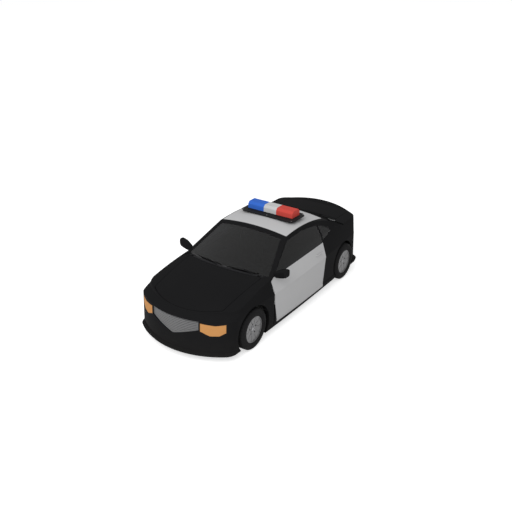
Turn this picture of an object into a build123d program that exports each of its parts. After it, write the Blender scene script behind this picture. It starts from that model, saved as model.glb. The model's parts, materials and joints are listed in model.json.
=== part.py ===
"""Two-door patrol car with a light bar on its roof, built from panels, glass and running gear.

Sizes are in millimetres. The nose points along -Y, the car's left side is +X and +Z is up. The origin lies on
the ground under the middle of the car.
"""
import os
from collections import namedtuple
from functools import cache
from math import atan2, cos, degrees, radians, sin

from build123d import *

os.makedirs("parts", exist_ok=True)

# Overall sizes
LENGTH = 4370
WHEELBASE = 2750
FRONT_AXLE_Y = -1330
REAR_AXLE_Y = FRONT_AXLE_Y + WHEELBASE
NOSE_Y = -LENGTH / 2
TAIL_Y = LENGTH / 2
FAR = 3000

# Clearances
SEAM = 0.3
SHUT_GAP = 6
PIN_FIT = 0.3

# Wheels
TYRE_R = 322
TYRE_WIDTH = 235
RIM_R = 206
RIM_WIDTH = 196
WHEEL_X = 788
SPINDLE_R = 28
STEER_X = 735
FRONT_ARCH_R = 375
REAR_ARCH_R = 372
LINER = 12
LINER_FRONT_X = 505
LINER_REAR_X = 600

# Shell thicknesses
SIDE_WALL = 80
TOP_WALL = 40
WING_SKIN = 30
GLASS_DEPTH = 5
GLASS = 8

# The body is a stack of plan outlines: a bowed nose, bowed flanks and a bowed tail with rounded corners.
# Columns: height, nose set back, half widths at front corner, middle and rear corner, tail set back.
Level = namedtuple("Level", "z nose front middle rear tail")
BODY_LEVELS = [
    Level(105, 25, 862, 888, 838, 35),
    Level(140, 0, 872, 907, 866, 8),
    Level(168, 45, 864, 909, 876, 0),
    Level(196, 46, 864, 912, 884, 0),
    Level(224, 48, 864, 915, 840, 38),
    Level(654, 71, 868, 921, 826, 37),
    Level(690, 152, 868, 922, 826, 36),
    Level(718, 215, 862, 911, 820, 34),
    Level(932, 300, 800, 822, 794, 11),
    Level(1030, 320, 745, 772, 778, 0),
    Level(1272, 320, 615, 640, 606, 0),
    Level(1420, 320, 540, 559, 520, 0),
]
NOSE_BOW = 330
TAIL_BOW = 235
FRONT_CORNER_R = 200
REAR_CORNER_R = 160
WIDEST_Y = -100

# Top outlines at the middle of the car (y, z), each spun about a lengthwise line far below it for the crown
HOOD_START = (-2300, 640)
HOOD_ARC = [(-2000, 708), (-1400, 863), (-700, 958)]
HOOD_CROWN_Z = -7100
HOOD_HALF_ANGLE = 9
SCREEN_FOOT = (-1000, 880)
ROOF_ARC = [(-100, 1325), (500, 1338), (1120, 1225)]
REAR_GLASS_FOOT = (1650, 986)
CABIN_CROWN_Z = -2600
CABIN_HALF_ANGLE = 20
DECK_LINE = [(1500, 1019), (2050, 1014), (2200, 1036)]
DECK_CROWN_Z = -10980
DECK_HALF_ANGLE = 6

# Planes inside the car where panel cuts stop, and the lap of joined solids
BONNET_CUT_Z = 600
GLASS_CUT_Z = 700
ROOF_CUT_Z = 900
SIDE_CUT_X = 300
NOSE_CUT_Y = -1500
TAIL_CUT_Y = 1700
LAP = 1

# Panel edges seen from above and from the side
WING_FRONT_Y = -1712
WING_REAR_Y = -830
FIREWALL_Y = -905
FIREWALL_T = 25
PILLAR_FRONT_Y = FIREWALL_Y - 20
BONNET_REAR = (690, -858)
BONNET_REAR_MIDDLE_Y = -958
BONNET_FRONT = (640, -1745)
BONNET_FRONT_MIDDLE_Y = -1962
BONNET_REAR_GAP = 12
SCREEN_OUTLINE = [(760, -768), (572, -150)]
SCREEN_FOOT_MIDDLE_Y = -902
ROOF_PANEL = [(616, -62), (600, 1075)]
REAR_GLASS_OUTLINE = [(560, 1140), (632, 1545)]
HEADER_X = 560
COWL_X = 696
BOOT_FRONT_GAP = 14
BOOT_X = 596
BOOT_FRONT_Y = 1606
BOOT_LOW_Z = 752
BUMPER_TOP_Z = 520
REAR_BUMPER_Y = 1806

# Door and side glass seen from the side (y, z)
DOOR_OUTLINE = [(-813, 872), (-813, 560), (-742, 172), (650, 172), (738, 700), (757, 926), (-720, 912)]
DOOR_GLASS_OUTLINE = [(-745, 880), (-700, 925), (-100, 1232), (330, 1246), (757, 1196), (757, 890)]
QUARTER_OUTLINE = [(790, 944), (790, 1190), (1040, 1080), (1070, 1020)]
DOOR_TAPER = 3.5
DOOR_FACE_X = 930
DOOR_REACH = 400

# Lamps and grille seen from the front (x, z)
HEADLAMP_OUTLINE = [(447, 625), (650, 604), (780, 625), (780, 490), (700, 436), (580, 430), (447, 494)]
HEADLAMP_DEPTH = 60
LAMP_SET_BACK = 2
GRILLE_OUTLINE = [(-428, 648), (428, 648), (428, 503), (0, 361), (-428, 503)]
GRILLE_SET_BACK = 18
GRILLE_THICK = 34
GRILLE_FRAME = 20
GRILLE_SLOT = 9
GRILLE_PITCH = 27
TAIL_LAMP_OUTLINE = [(622, 868), (765, 868), (765, 772), (622, 772)]
TAIL_LAMP_DEPTH = 45

# Hinges
DOOR_HINGE = (903.5, -820)
DOOR_HINGE_Z = [570, 640]
DOOR_HINGE_CHANNEL_X = 868
DOOR_HINGE_REACH = 16
BONNET_HINGE = (640, -838, 905)
BOOT_HINGE = (300, 1580, 1004)
KNUCKLE_R = 5.5
HINGE_PIN_R = 3
KNUCKLE_LENGTH = 22
KNUCKLE_GAP = 1
LID_HINGE_NOTCH = 56
LID_HINGE_EYE = 40
LID_HINGE_ROOM = 12
LID_HINGE_OPEN = 60
LID_HINGE_CUT = 60
LID_PIN_SEAT = 2
BONNET_ARM = 50
BOOT_ARM = 40
HINGE_SEAT = 8

# Mirror
# Columns: x, y and z of the section's middle, half its length and half its height.
Section = namedtuple("Section", "x y z half_y half_z")
MIRROR_SECTIONS = [
    Section(770, -668, 922, 34, 26),
    Section(880, -664, 942, 42, 34),
    Section(1015, -652, 1000, 56, 50),
    Section(1042, -646, 1010, 36, 34),
]
MIRROR_CORNER = 0.4

# Rim: a dished disc with vents round its hub and shallow grooves between its spokes
RIM_WALL = 16
HUB_R = 58
HUB_SET_BACK = 26
HUB_DEPTH = 60
DISH_SET_BACK = 8
DISH_T = 22
VENTS = 5
VENT_R = 15
VENT_CIRCLE_R = 80
SPOKES = 10
GROOVE_START_R = 104
GROOVE_WIDTH = 8
GROOVE_DEPTH = 5
TYRE_SHOULDER = 28
TYRE_BULGE = 46
TYRE_BEAD = 12

# Suspension
ARM_SPREAD = 131
ARM_T = 22
KNUCKLE_CLEAR = 6
BALL_PIN_R = 12
BALL_PIN_LENGTH = 40
ARM_HALF = 20
ARM_ROOM = 30
BEAM_HALF = 35
BEAM_RISE = 40
TOWER_X = 70
TOWER_Y = 160
TOWER_RISE = 40
UPRIGHT_X = 48
UPRIGHT_Y = 90
BEARING_R = 60
BEARING_DEPTH = 40
SPINDLE_END_GAP = 2
AXLE_R = 45
AXLE_ROOM = 15
ARM_X = 480
TRAIL_WIDTH = 50
TRAIL_EYE = 30
TRAIL_BEND = 20
TRAIL_DROP = 10
TRAIL_FOOT = 150
TRAIL_DEPTH = 45
SPRING_X = 408
SPRING_R = 50

# Engine and exhaust
ENGINE = (520, 620, 440)
ENGINE_Y = -1310
ENGINE_MOUNT = 20
ENGINE_MOUNT_X = 150
EXHAUST_R = 28
EXHAUST_X = -150
EXHAUST_GAP = 3
HANGER = 24
HANGER_Y = [-600, 100, 800]
MUFFLER = (420, 260, 150)
MUFFLER_Y = 1680
MUFFLER_ROUND = 40
TAILPIPE_R = 32
TAILPIPE_X = -440
TAILPIPE_Z = 196
TAILPIPE_SET_BACK = 40
TAILPIPE_ROOM = 12

# Seats and steering column
SEAT_X = 370
SEAT_FRAME_X = 190
SEAT_FRAME_Y = (-100, 300)
SEAT_CUSHION = [(-150, 268), (-168, 400), (-130, 436), (250, 408), (360, 425), (340, 268)]
SEAT_CUSHION_X = 238
SEAT_BACK = [(262, 408), (312, 350), (400, 372), (566, 900), (548, 930), (470, 938), (440, 918)]
SEAT_BACK_X = 228
HEADREST_POST = [(492, 925), (512, 990), (542, 990), (522, 925)]
HEADREST_POST_X = 60
HEADREST = [(468, 975), (490, 1112), (520, 1128), (568, 1112), (574, 1080), (548, 970)]
HEADREST_X = 132
BENCH_X = 560
BENCH_FRONT_Y = 850
BENCH_SECTION = [(830, 430), (1240, 500), (1370, 880)]
DASH_SECTION = [(-740, 880), (-560, 862), (-500, 800), (-520, 690), (-640, 600)]
HOOD_SECTION = [(-700, 860), (-668, 926), (-566, 934), (-548, 850)]
HOOD_X = 165
COLUMN_LENGTH = 330
DASH_DOOR_GAP = 18

# Floor seen from the side (y, z)
FLOOR_Z = 215
FLOOR_T = 40
REAR_FLOOR_Z = 480
KICK_UP_Y = 1130
KICK_UP_RUN = 70
KICK_UP_T = 28
REAR_FLOOR_END_Y = 2060
TUNNEL_X = 110
TUNNEL_Z = 330
BULKHEAD_Y = 1470
BULKHEAD_T = 20

# Light bar
BAR_BASE = (1030, 430)
BAR_MIDDLE_Y = 490
BAR_BASE_Z = 1354
BAR_BASE_T = 16
BAR_CORNER = 60
BAR_LENS = (870, 222)
BAR_LENS_Y = 510
BAR_TOP_Z = 1486
BAR_SPLIT_X = 122
BAR_SHOULDER = 38
BAR_FOOT_X = 380
BAR_FOOT = (80, 300, 100)

# Steering
STEERING_WHEEL = (370, -300, 820)
STEERING_TILT = 25
STEERING_R = 180
STEERING_GRIP_R = 14
STEERING_GRIP_SIDES = 8
STEERING_BOSS = 44
STEERING_SPOKE = 30
STEERING_SPOKES = [0, 180, 270]
COLUMN_R = 20


def plan_prism(face, low, high):
    """A plan outline raised from one height to another."""
    return extrude(Pos(0, 0, low) * face, high - low)


def side_prism(points, start, end, grow=0):
    """A side outline of (y, z) points, carried from one x to another."""
    face = make_face(Polyline(*points, close=True))
    if grow:
        face = offset(face, amount=grow, kind=Kind.INTERSECTION)
    return Pos(start, 0, 0) * extrude(Plane.YZ * face, end - start)


def front_prism(points, start, end, grow=0):
    """A front outline of (x, z) points, carried from one y to another."""
    face = make_face(Polyline(*points, close=True))
    if grow:
        face = offset(face, amount=grow, kind=Kind.INTERSECTION)
    return Pos(0, end, 0) * extrude(Plane.XZ * face, end - start)


def block(x0, x1, y0, y1, z0, z1):
    """A box from its six faces."""
    return Pos((x0 + x1) / 2, (y0 + y1) / 2, (z0 + z1) / 2) * Box(x1 - x0, y1 - y0, z1 - z0)


def bar_x(radius, x0, x1, y, z):
    """A round bar across the car."""
    return Pos((x0 + x1) / 2, y, z) * Rot(0, 90, 0) * Cylinder(radius, x1 - x0)


def bar_y(radius, x, y0, y1, z):
    """A round bar along the car."""
    return Pos(x, (y0 + y1) / 2, z) * Rot(90, 0, 0) * Cylinder(radius, y1 - y0)


def bar_z(radius, x, y, z0, z1):
    """An upright round bar."""
    return Pos(x, y, (z0 + z1) / 2) * Cylinder(radius, z1 - z0)


def right_of(solid):
    """The same piece on the car's right side."""
    return mirror(solid, about=Plane.YZ)


def plan_outline(level, inset):
    """One plan outline of the body, drawn in by inset."""
    nose = NOSE_Y + level.nose + inset
    tail = TAIL_Y - level.tail - inset
    front = (level.front - inset, nose + NOSE_BOW)
    middle = (level.middle - inset, WIDEST_Y)
    rear = (level.rear - inset, tail - TAIL_BOW)
    edges = [
        ThreePointArc((-front[0], front[1]), (0, nose), front),
        ThreePointArc(front, middle, rear),
        ThreePointArc(rear, (0, tail), (-rear[0], rear[1])),
        ThreePointArc((-rear[0], rear[1]), (-middle[0], middle[1]), (-front[0], front[1])),
    ]
    face = make_face(edges)
    face = fillet(face.vertices().sort_by(Axis.Y)[:2], FRONT_CORNER_R)
    face = fillet(face.vertices().sort_by(Axis.Y)[-2:], REAR_CORNER_R)
    return Pos(0, 0, level.z) * face


@cache
def flanks(inset):
    """The body's upright walls, drawn in by inset and open to everything above and below."""
    return loft([plan_outline(level, inset) for level in BODY_LEVELS], ruled=True)


def crowned(edges, crown_z, half_angle):
    """A side outline spun a little both ways about a lengthwise line at crown_z."""
    face = Plane.YZ * make_face(edges)
    axis = Axis((0, 0, crown_z), (0, 1, 0))
    return revolve(face.rotate(axis, -half_angle), axis, 2 * half_angle)


@cache
def top_form():
    """Everything under the bonnet, roof and boot surfaces."""
    hood_end = (HOOD_ARC[2][0], 0)
    hood = crowned([
        Line(HOOD_START, HOOD_ARC[0]),
        ThreePointArc(*HOOD_ARC),
        Line(HOOD_ARC[2], hood_end),
        Line(hood_end, (HOOD_START[0], 0)),
        Line((HOOD_START[0], 0), HOOD_START),
    ], HOOD_CROWN_Z, HOOD_HALF_ANGLE)
    cabin = crowned([
        Line(SCREEN_FOOT, ROOF_ARC[0]),
        ThreePointArc(*ROOF_ARC),
        Line(ROOF_ARC[2], REAR_GLASS_FOOT),
        Line(REAR_GLASS_FOOT, (REAR_GLASS_FOOT[0], 0)),
        Line((REAR_GLASS_FOOT[0], 0), (SCREEN_FOOT[0], 0)),
        Line((SCREEN_FOOT[0], 0), SCREEN_FOOT),
    ], CABIN_CROWN_Z, CABIN_HALF_ANGLE)
    deck_points = DECK_LINE + [(DECK_LINE[2][0], 0), (DECK_LINE[0][0], 0)]
    deck = crowned(Polyline(*deck_points, close=True).edges(), DECK_CROWN_Z, DECK_HALF_ANGLE)
    return hood + cabin + deck


def bonnet_plan(gap, rear_gap):
    """The bonnet's outline from above, grown by the gap at its sides and front."""
    rear = (BONNET_REAR[0] + gap, BONNET_REAR[1] + rear_gap)
    front = (BONNET_FRONT[0] + gap, BONNET_FRONT[1] - gap)
    rear_middle = (0, BONNET_REAR_MIDDLE_Y + rear_gap)
    front_middle = (0, BONNET_FRONT_MIDDLE_Y - gap)
    return make_face([
        ThreePointArc((-rear[0], rear[1]), rear_middle, rear),
        Line(rear, front),
        ThreePointArc(front, front_middle, (-front[0], front[1])),
        Line((-front[0], front[1]), (-rear[0], rear[1])),
    ])


def screen_plan(gap):
    """The windscreen's outline from above."""
    foot, head = SCREEN_OUTLINE
    foot = (foot[0] + gap, foot[1] - gap)
    head = (head[0] + gap, head[1] + gap)
    return make_face([
        ThreePointArc((-foot[0], foot[1]), (0, SCREEN_FOOT_MIDDLE_Y - gap), foot),
        Line(foot, head),
        Line(head, (-head[0], head[1])),
        Line((-head[0], head[1]), (-foot[0], foot[1])),
    ])


def four_sided_plan(front, rear, gap):
    """A symmetrical outline from above with straight front and rear edges."""
    front = (front[0] + gap, front[1] - gap)
    rear = (rear[0] + gap, rear[1] + gap)
    return make_face(Polyline(
        front, rear, (-rear[0], rear[1]), (-front[0], front[1]), close=True))


def hinge_eye(origin, axis, arm, length, reach):
    """A bored hinge knuckle round an axis, with a flat leaf along the arm direction."""
    leaf = Pos(reach / 2, 0, 0) * Box(reach, 2 * HINGE_PIN_R, length)
    eye = Cylinder(KNUCKLE_R, length) + leaf - Cylinder(HINGE_PIN_R + PIN_FIT, 2 * length)
    return Plane(origin=origin, x_dir=arm, z_dir=axis) * eye


def lid_hinge_mount(panel, hinge, lid_side):
    """A fixed panel with a notch and a pin for each of a lid's two hinge arms."""
    x, y, z = hinge
    half = LID_HINGE_NOTCH / 2
    front, rear = sorted((y - lid_side * LID_HINGE_ROOM, y + lid_side * LID_HINGE_OPEN))
    for middle in (x, -x):
        panel -= block(middle - half, middle + half, front, rear, z - LID_HINGE_CUT, z + LID_HINGE_CUT)
        panel += bar_x(HINGE_PIN_R, middle - half - LID_PIN_SEAT, middle + half + LID_PIN_SEAT, y, z)
    return panel


def with_lid_arms(lid, hinge, arm, reach):
    """A lid with its two hinge arms."""
    x, y, z = hinge
    for middle in (x, -x):
        lid += hinge_eye((middle, y, z), (1, 0, 0), arm, LID_HINGE_EYE, reach)
    return lid


def hollow(gap):
    """The space inside the shell, drawn in by a gap."""
    return flanks(SIDE_WALL + gap) & (Pos(0, 0, -TOP_WALL - gap) * top_form())


# Body shell: every panel is cut from this one skin
skin = (flanks(0) & top_form()) - hollow(0)
cabin_fit = hollow(SEAM)
front_arch = bar_x(FRONT_ARCH_R, LINER_FRONT_X, FAR, FRONT_AXLE_Y, TYRE_R)
rear_arch = bar_x(REAR_ARCH_R, LINER_REAR_X, FAR, REAR_AXLE_Y, TYRE_R)
for arch in (front_arch, rear_arch):
    skin -= arch
    skin -= right_of(arch)

bonnet_opening = plan_prism(bonnet_plan(SHUT_GAP, BONNET_REAR_GAP), BONNET_CUT_Z, FAR)
screen_opening = plan_prism(screen_plan(0), GLASS_CUT_Z, FAR)
rear_glass_opening = plan_prism(four_sided_plan(*REAR_GLASS_OUTLINE, 0), GLASS_CUT_Z, FAR)
boot_opening = block(-BOOT_X - SHUT_GAP, BOOT_X + SHUT_GAP, BOOT_FRONT_Y - SHUT_GAP, FAR,
                     BOOT_LOW_Z - SHUT_GAP, FAR)
solids = {}


def front_panels():
    """Front bumper, wings, grille and headlamps."""
    bumper = (skin & block(-FAR, FAR, -FAR, WING_FRONT_Y, 0, FAR)) - bonnet_opening
    lamp_pocket = front_prism(HEADLAMP_OUTLINE, -FAR, NOSE_CUT_Y)
    bumper -= lamp_pocket
    bumper -= right_of(lamp_pocket)
    bumper -= front_prism(GRILLE_OUTLINE, -FAR, NOSE_CUT_Y)
    solids["front_bumper"] = bumper

    lamp_form = flanks(LAMP_SET_BACK) - flanks(LAMP_SET_BACK + HEADLAMP_DEPTH)
    lamp = lamp_form & front_prism(HEADLAMP_OUTLINE, -FAR, NOSE_CUT_Y, -SEAM)
    solids["headlamps"] = [lamp, right_of(lamp)]

    grille = flanks(GRILLE_SET_BACK) - flanks(GRILLE_SET_BACK + GRILLE_THICK)
    grille = grille & front_prism(GRILLE_OUTLINE, -FAR, NOSE_CUT_Y, -SEAM)
    recess = front_prism(GRILLE_OUTLINE, -FAR, NOSE_CUT_Y, -GRILLE_FRAME)
    top_slot_z = GRILLE_OUTLINE[0][1] - GRILLE_FRAME - GRILLE_SLOT
    slots = []
    for number in range(int((top_slot_z - GRILLE_OUTLINE[3][1]) / GRILLE_PITCH)):
        slot_z = top_slot_z - number * GRILLE_PITCH
        slots.append(recess & block(-FAR, FAR, -FAR, NOSE_CUT_Y, slot_z, slot_z + GRILLE_SLOT))
    grille -= slots
    solids["grille"] = grille

    wing = skin & block(0, FAR, WING_FRONT_Y + SEAM, WING_REAR_Y, 0, FAR)
    wing -= bonnet_opening
    wing -= block(-FAR, COWL_X, BONNET_REAR[1] + BONNET_REAR_GAP, FAR, BONNET_CUT_Z, FAR)
    wing -= block(-FAR, BONNET_FRONT[0], BONNET_REAR_MIDDLE_Y, FAR, BONNET_CUT_Z, FAR)
    wing -= flanks(WING_SKIN) & block(0, FAR, PILLAR_FRONT_Y, FAR, 0, FAR)
    solids["front_wing_left"] = wing
    solids["front_wing_right"] = right_of(wing)


def roof_panels():
    """Roof skin, header, cowl, rear deck and the fixed glass."""
    solids["roof_panel"] = skin & plan_prism(four_sided_plan(*ROOF_PANEL, 0), ROOF_CUT_Z, FAR)
    header = skin & block(-HEADER_X, HEADER_X, SCREEN_OUTLINE[1][1], ROOF_PANEL[0][1], ROOF_CUT_Z, FAR)
    rear_header = skin & block(-HEADER_X, HEADER_X, ROOF_PANEL[1][1], REAR_GLASS_OUTLINE[0][1],
                               ROOF_CUT_Z, FAR)
    solids["roof_headers"] = [header, rear_header]
    cowl_zone = block(-COWL_X + SEAM, COWL_X - SEAM, BONNET_REAR_MIDDLE_Y, SCREEN_OUTLINE[0][1],
                      GLASS_CUT_Z, FAR)
    cowl = (skin & cowl_zone) - screen_opening
    cowl -= plan_prism(bonnet_plan(2 * SHUT_GAP, BONNET_REAR_GAP), BONNET_CUT_Z, FAR)
    solids["cowl"] = lid_hinge_mount(cowl, BONNET_HINGE, -1)
    deck_zone = block(-BOOT_X, BOOT_X, REAR_GLASS_OUTLINE[1][1], BOOT_FRONT_Y - BOOT_FRONT_GAP,
                      GLASS_CUT_Z, FAR)
    solids["rear_deck"] = lid_hinge_mount(skin & deck_zone, BOOT_HINGE, 1)

    glass_top = Pos(0, 0, -GLASS_DEPTH) * top_form() - Pos(0, 0, -GLASS_DEPTH - GLASS) * top_form()
    windscreen = glass_top & plan_prism(screen_plan(-SEAM), GLASS_CUT_Z, FAR)
    solids["windscreen"] = windscreen & flanks(GLASS_DEPTH)
    rear_window = glass_top & plan_prism(four_sided_plan(*REAR_GLASS_OUTLINE, -SEAM), GLASS_CUT_Z, FAR)
    solids["rear_window"] = rear_window & flanks(GLASS_DEPTH)


def rear_panels():
    """Rear bumper, the panel above it, boot lid and tail lamps."""
    bumper_zone = block(-FAR, FAR, REAR_BUMPER_Y, FAR, 0, BUMPER_TOP_Z)
    solids["rear_bumper"] = skin & bumper_zone
    panel_zone = block(-BOOT_X, BOOT_X, REAR_BUMPER_Y, FAR, BUMPER_TOP_Z + SEAM, BOOT_LOW_Z - SHUT_GAP)
    solids["rear_panel"] = skin & panel_zone
    lamp_form = flanks(LAMP_SET_BACK) - flanks(LAMP_SET_BACK + TAIL_LAMP_DEPTH)
    lamp = lamp_form & front_prism(TAIL_LAMP_OUTLINE, TAIL_CUT_Y, FAR, -SEAM)
    solids["tail_lamps"] = [lamp, right_of(lamp)]
    return skin & block(-BOOT_X, BOOT_X, BOOT_FRONT_Y, FAR, BOOT_LOW_Z, FAR)


def side_panels():
    """Body sides, doors with their glass, and the fixed quarter glass."""
    door_opening = side_prism(DOOR_OUTLINE, SIDE_CUT_X, FAR, SHUT_GAP)
    window_opening = side_prism(DOOR_GLASS_OUTLINE, SIDE_CUT_X, FAR, SHUT_GAP)
    quarter_opening = side_prism(QUARTER_OUTLINE, SIDE_CUT_X, FAR)
    side = skin & block(0, FAR, WING_REAR_Y + SEAM, FAR, 0, FAR)
    pillar_zone = block(0, FAR, PILLAR_FRONT_Y + SEAM, WING_REAR_Y + LAP, 0, FAR)
    side += (skin & flanks(WING_SKIN + SEAM)) & pillar_zone
    side -= block(-FAR, COWL_X, -FAR, SCREEN_OUTLINE[0][1] + LAP, BONNET_CUT_Z, FAR)
    side -= block(-FAR, HEADER_X + SEAM, -FAR, REAR_GLASS_OUTLINE[0][1], ROOF_CUT_Z, FAR)
    side -= plan_prism(four_sided_plan(*ROOF_PANEL, SEAM), ROOF_CUT_Z, FAR)
    side -= screen_opening
    side -= rear_glass_opening
    side -= block(-FAR, BOOT_X + SEAM, REAR_GLASS_OUTLINE[1][1] - LAP, FAR, GLASS_CUT_Z, FAR)
    side -= boot_opening
    side -= block(-FAR, BOOT_X + SEAM, TAIL_CUT_Y, FAR, BUMPER_TOP_Z, FAR)
    side -= block(-FAR, FAR, REAR_BUMPER_Y - SEAM, FAR, 0, BUMPER_TOP_Z + SEAM)
    for opening in (door_opening, window_opening, quarter_opening):
        side -= opening
    side -= front_prism(TAIL_LAMP_OUTLINE, TAIL_CUT_Y, FAR)

    door_plane = Plane(origin=(DOOR_FACE_X, 0, 0), x_dir=(0, -1, 0), z_dir=(-1, 0, 0))
    door_face = make_face(Polyline(*[(-y, z) for y, z in DOOR_OUTLINE], close=True))
    door = skin & extrude(door_plane * door_face, DOOR_REACH, taper=DOOR_TAPER)
    pane = flanks(GLASS_DEPTH) - flanks(GLASS_DEPTH + GLASS)
    slot = flanks(GLASS_DEPTH - SEAM) - flanks(GLASS_DEPTH + GLASS + SEAM)
    door -= slot & side_prism(DOOR_GLASS_OUTLINE, SIDE_CUT_X, FAR, SEAM)
    glass = pane & side_prism(DOOR_GLASS_OUTLINE, SIDE_CUT_X, FAR)
    quarter = pane & side_prism(QUARTER_OUTLINE, SIDE_CUT_X, FAR, -SEAM)
    solids["quarter_glass"] = [quarter, right_of(quarter)]
    return side, door, glass


def door_hinges(side, door):
    """Knuckles on the door, and pins on the post that turn in them."""
    x, y = DOOR_HINGE
    side -= block(DOOR_HINGE_CHANNEL_X, FAR, WING_REAR_Y - LAP, y + 2 * KNUCKLE_R,
                  DOOR_OUTLINE[2][1] - SHUT_GAP, DOOR_OUTLINE[0][1])
    for low in DOOR_HINGE_Z:
        middle = low + KNUCKLE_LENGTH / 2
        upper = middle + KNUCKLE_LENGTH + KNUCKLE_GAP
        reach = x - DOOR_HINGE_CHANNEL_X + HINGE_SEAT
        side += hinge_eye((x, y, middle), (0, 0, 1), (-1, 0, 0), KNUCKLE_LENGTH, reach)
        side += bar_z(HINGE_PIN_R, x, y, low, upper + KNUCKLE_LENGTH / 2)
        side += bar_z(HINGE_PIN_R + 2 * PIN_FIT, x, y, low, low + KNUCKLE_LENGTH)
        door += hinge_eye((x, y, upper), (0, 0, 1), (0, 1, 0), KNUCKLE_LENGTH, DOOR_HINGE_REACH)
    return side, door


def door_mirror():
    """Housing of the left mirror: eight-sided sections that grow outwards from its foot on the door."""
    faces = []
    for part in MIRROR_SECTIONS:
        corner = [(part.half_y, part.half_z * MIRROR_CORNER), (part.half_y * MIRROR_CORNER, part.half_z)]
        upper = corner + [(-y, z) for y, z in reversed(corner)]
        points = upper + [(y, -z) for y, z in reversed(upper)]
        outline = Plane.YZ * make_face(Polyline(*points, close=True))
        faces.append(Pos(part.x, part.y, part.z) * outline)
    return loft(faces, ruled=True) - flanks(-SEAM)


def tyre():
    """A tyre round the X axis, its section drawn and spun."""
    half = TYRE_WIDTH / 2
    section = [(half - TYRE_BEAD, RIM_R + SEAM), (half, RIM_R + TYRE_BULGE), (half - TYRE_SHOULDER, TYRE_R)]
    section += [(-x, r) for x, r in reversed(section)]
    return revolve(Plane.XZ * make_face(Polyline(*section, close=True)), Axis.X, 360)


def rim():
    """A dished rim round the X axis, its outer face at +X."""
    half = RIM_WIDTH / 2
    inner = RIM_R - RIM_WALL
    hub = half - HUB_SET_BACK
    dish = half - DISH_SET_BACK
    section = [(-half, RIM_R), (half, RIM_R), (half, inner), (dish, inner), (hub, HUB_R), (hub, 0), (0, 0),
               (0, HUB_R), (hub - DISH_T, HUB_R), (dish - DISH_T, inner), (-half, inner)]
    wheel = revolve(Plane.XZ * make_face(Polyline(*section, close=True)), Axis.X, 360)
    slope = degrees(atan2(dish - hub, inner - HUB_R))
    for number in range(VENTS):
        wheel -= Rot(360 * number / VENTS, 0, 0) * bar_x(VENT_R, 0, half, 0, VENT_CIRCLE_R)
    groove_length = inner - GROOVE_START_R
    groove_middle = Pos(0, 0, GROOVE_START_R - HUB_R + groove_length / 2)
    groove = Pos(hub, 0, HUB_R) * Rot(0, slope, 0) * groove_middle * Box(
        2 * GROOVE_DEPTH, GROOVE_WIDTH, groove_length)
    for number in range(SPOKES):
        wheel -= Rot(360 * (number + 0.5) / SPOKES, 0, 0) * groove
    return wheel - bar_x(SPINDLE_R + PIN_FIT, -half, HUB_DEPTH, 0, 0)


def wheels():
    """Four tyres and rims."""
    tyre_solid = tyre()
    rim_solid = rim()
    for end, axle_y in (("front", FRONT_AXLE_Y), ("rear", REAR_AXLE_Y)):
        place = Pos(WHEEL_X, axle_y, TYRE_R)
        solids[f"tyre_{end}_left"] = place * tyre_solid
        solids[f"rim_{end}_left"] = place * rim_solid
        solids[f"tyre_{end}_right"] = right_of(place * tyre_solid)
        solids[f"rim_{end}_right"] = right_of(place * rim_solid)


def front_suspension():
    """Subframe with its four arms, and the two steered knuckles between the arms' pins."""
    y = FRONT_AXLE_Y
    low_arm = TYRE_R - ARM_SPREAD
    high_arm = TYRE_R + ARM_SPREAD
    wall = LINER_FRONT_X - LINER
    frame = block(-wall, wall, y - BEAM_HALF, y + BEAM_HALF, low_arm - ARM_T, low_arm + BEAM_RISE)
    for side in (1, -1):
        tower = Box(TOWER_X, TOWER_Y, 2 * (ARM_SPREAD + TOWER_RISE))
        frame += Pos(side * (wall - TOWER_X / 2), y, TYRE_R) * tower
        for arm_z, toward in ((low_arm - ARM_T, 1), (high_arm, -1)):
            inner_end, outer_end = sorted((side * (wall - ARM_HALF), side * (STEER_X + ARM_HALF)))
            frame += block(inner_end, outer_end, y - ARM_HALF, y + ARM_HALF, arm_z, arm_z + ARM_T)
            pin_length = ARM_T / 2 + BALL_PIN_LENGTH
            pin_middle = arm_z + ARM_T / 2 + toward * pin_length / 2
            frame += Pos(side * STEER_X, y, pin_middle) * Cylinder(BALL_PIN_R, pin_length)
    solids["front_subframe"] = frame

    reach = ARM_SPREAD - KNUCKLE_CLEAR
    upright = block(STEER_X - UPRIGHT_X / 2, STEER_X + UPRIGHT_X / 2, y - UPRIGHT_Y / 2, y + UPRIGHT_Y / 2,
                    TYRE_R - reach, TYRE_R + reach)
    upright += bar_x(SPINDLE_R, STEER_X, WHEEL_X + HUB_DEPTH - SPINDLE_END_GAP, y, TYRE_R)
    upright += bar_x(BEARING_R, STEER_X, STEER_X + BEARING_DEPTH, y, TYRE_R)
    for end in (1, -1):
        low, high = sorted((TYRE_R + end * (reach + LAP), TYRE_R + end * (reach - BALL_PIN_LENGTH)))
        upright -= bar_z(BALL_PIN_R + PIN_FIT, STEER_X, y, low, high)
    solids["knuckle_left"] = upright
    solids["knuckle_right"] = right_of(upright)


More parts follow.
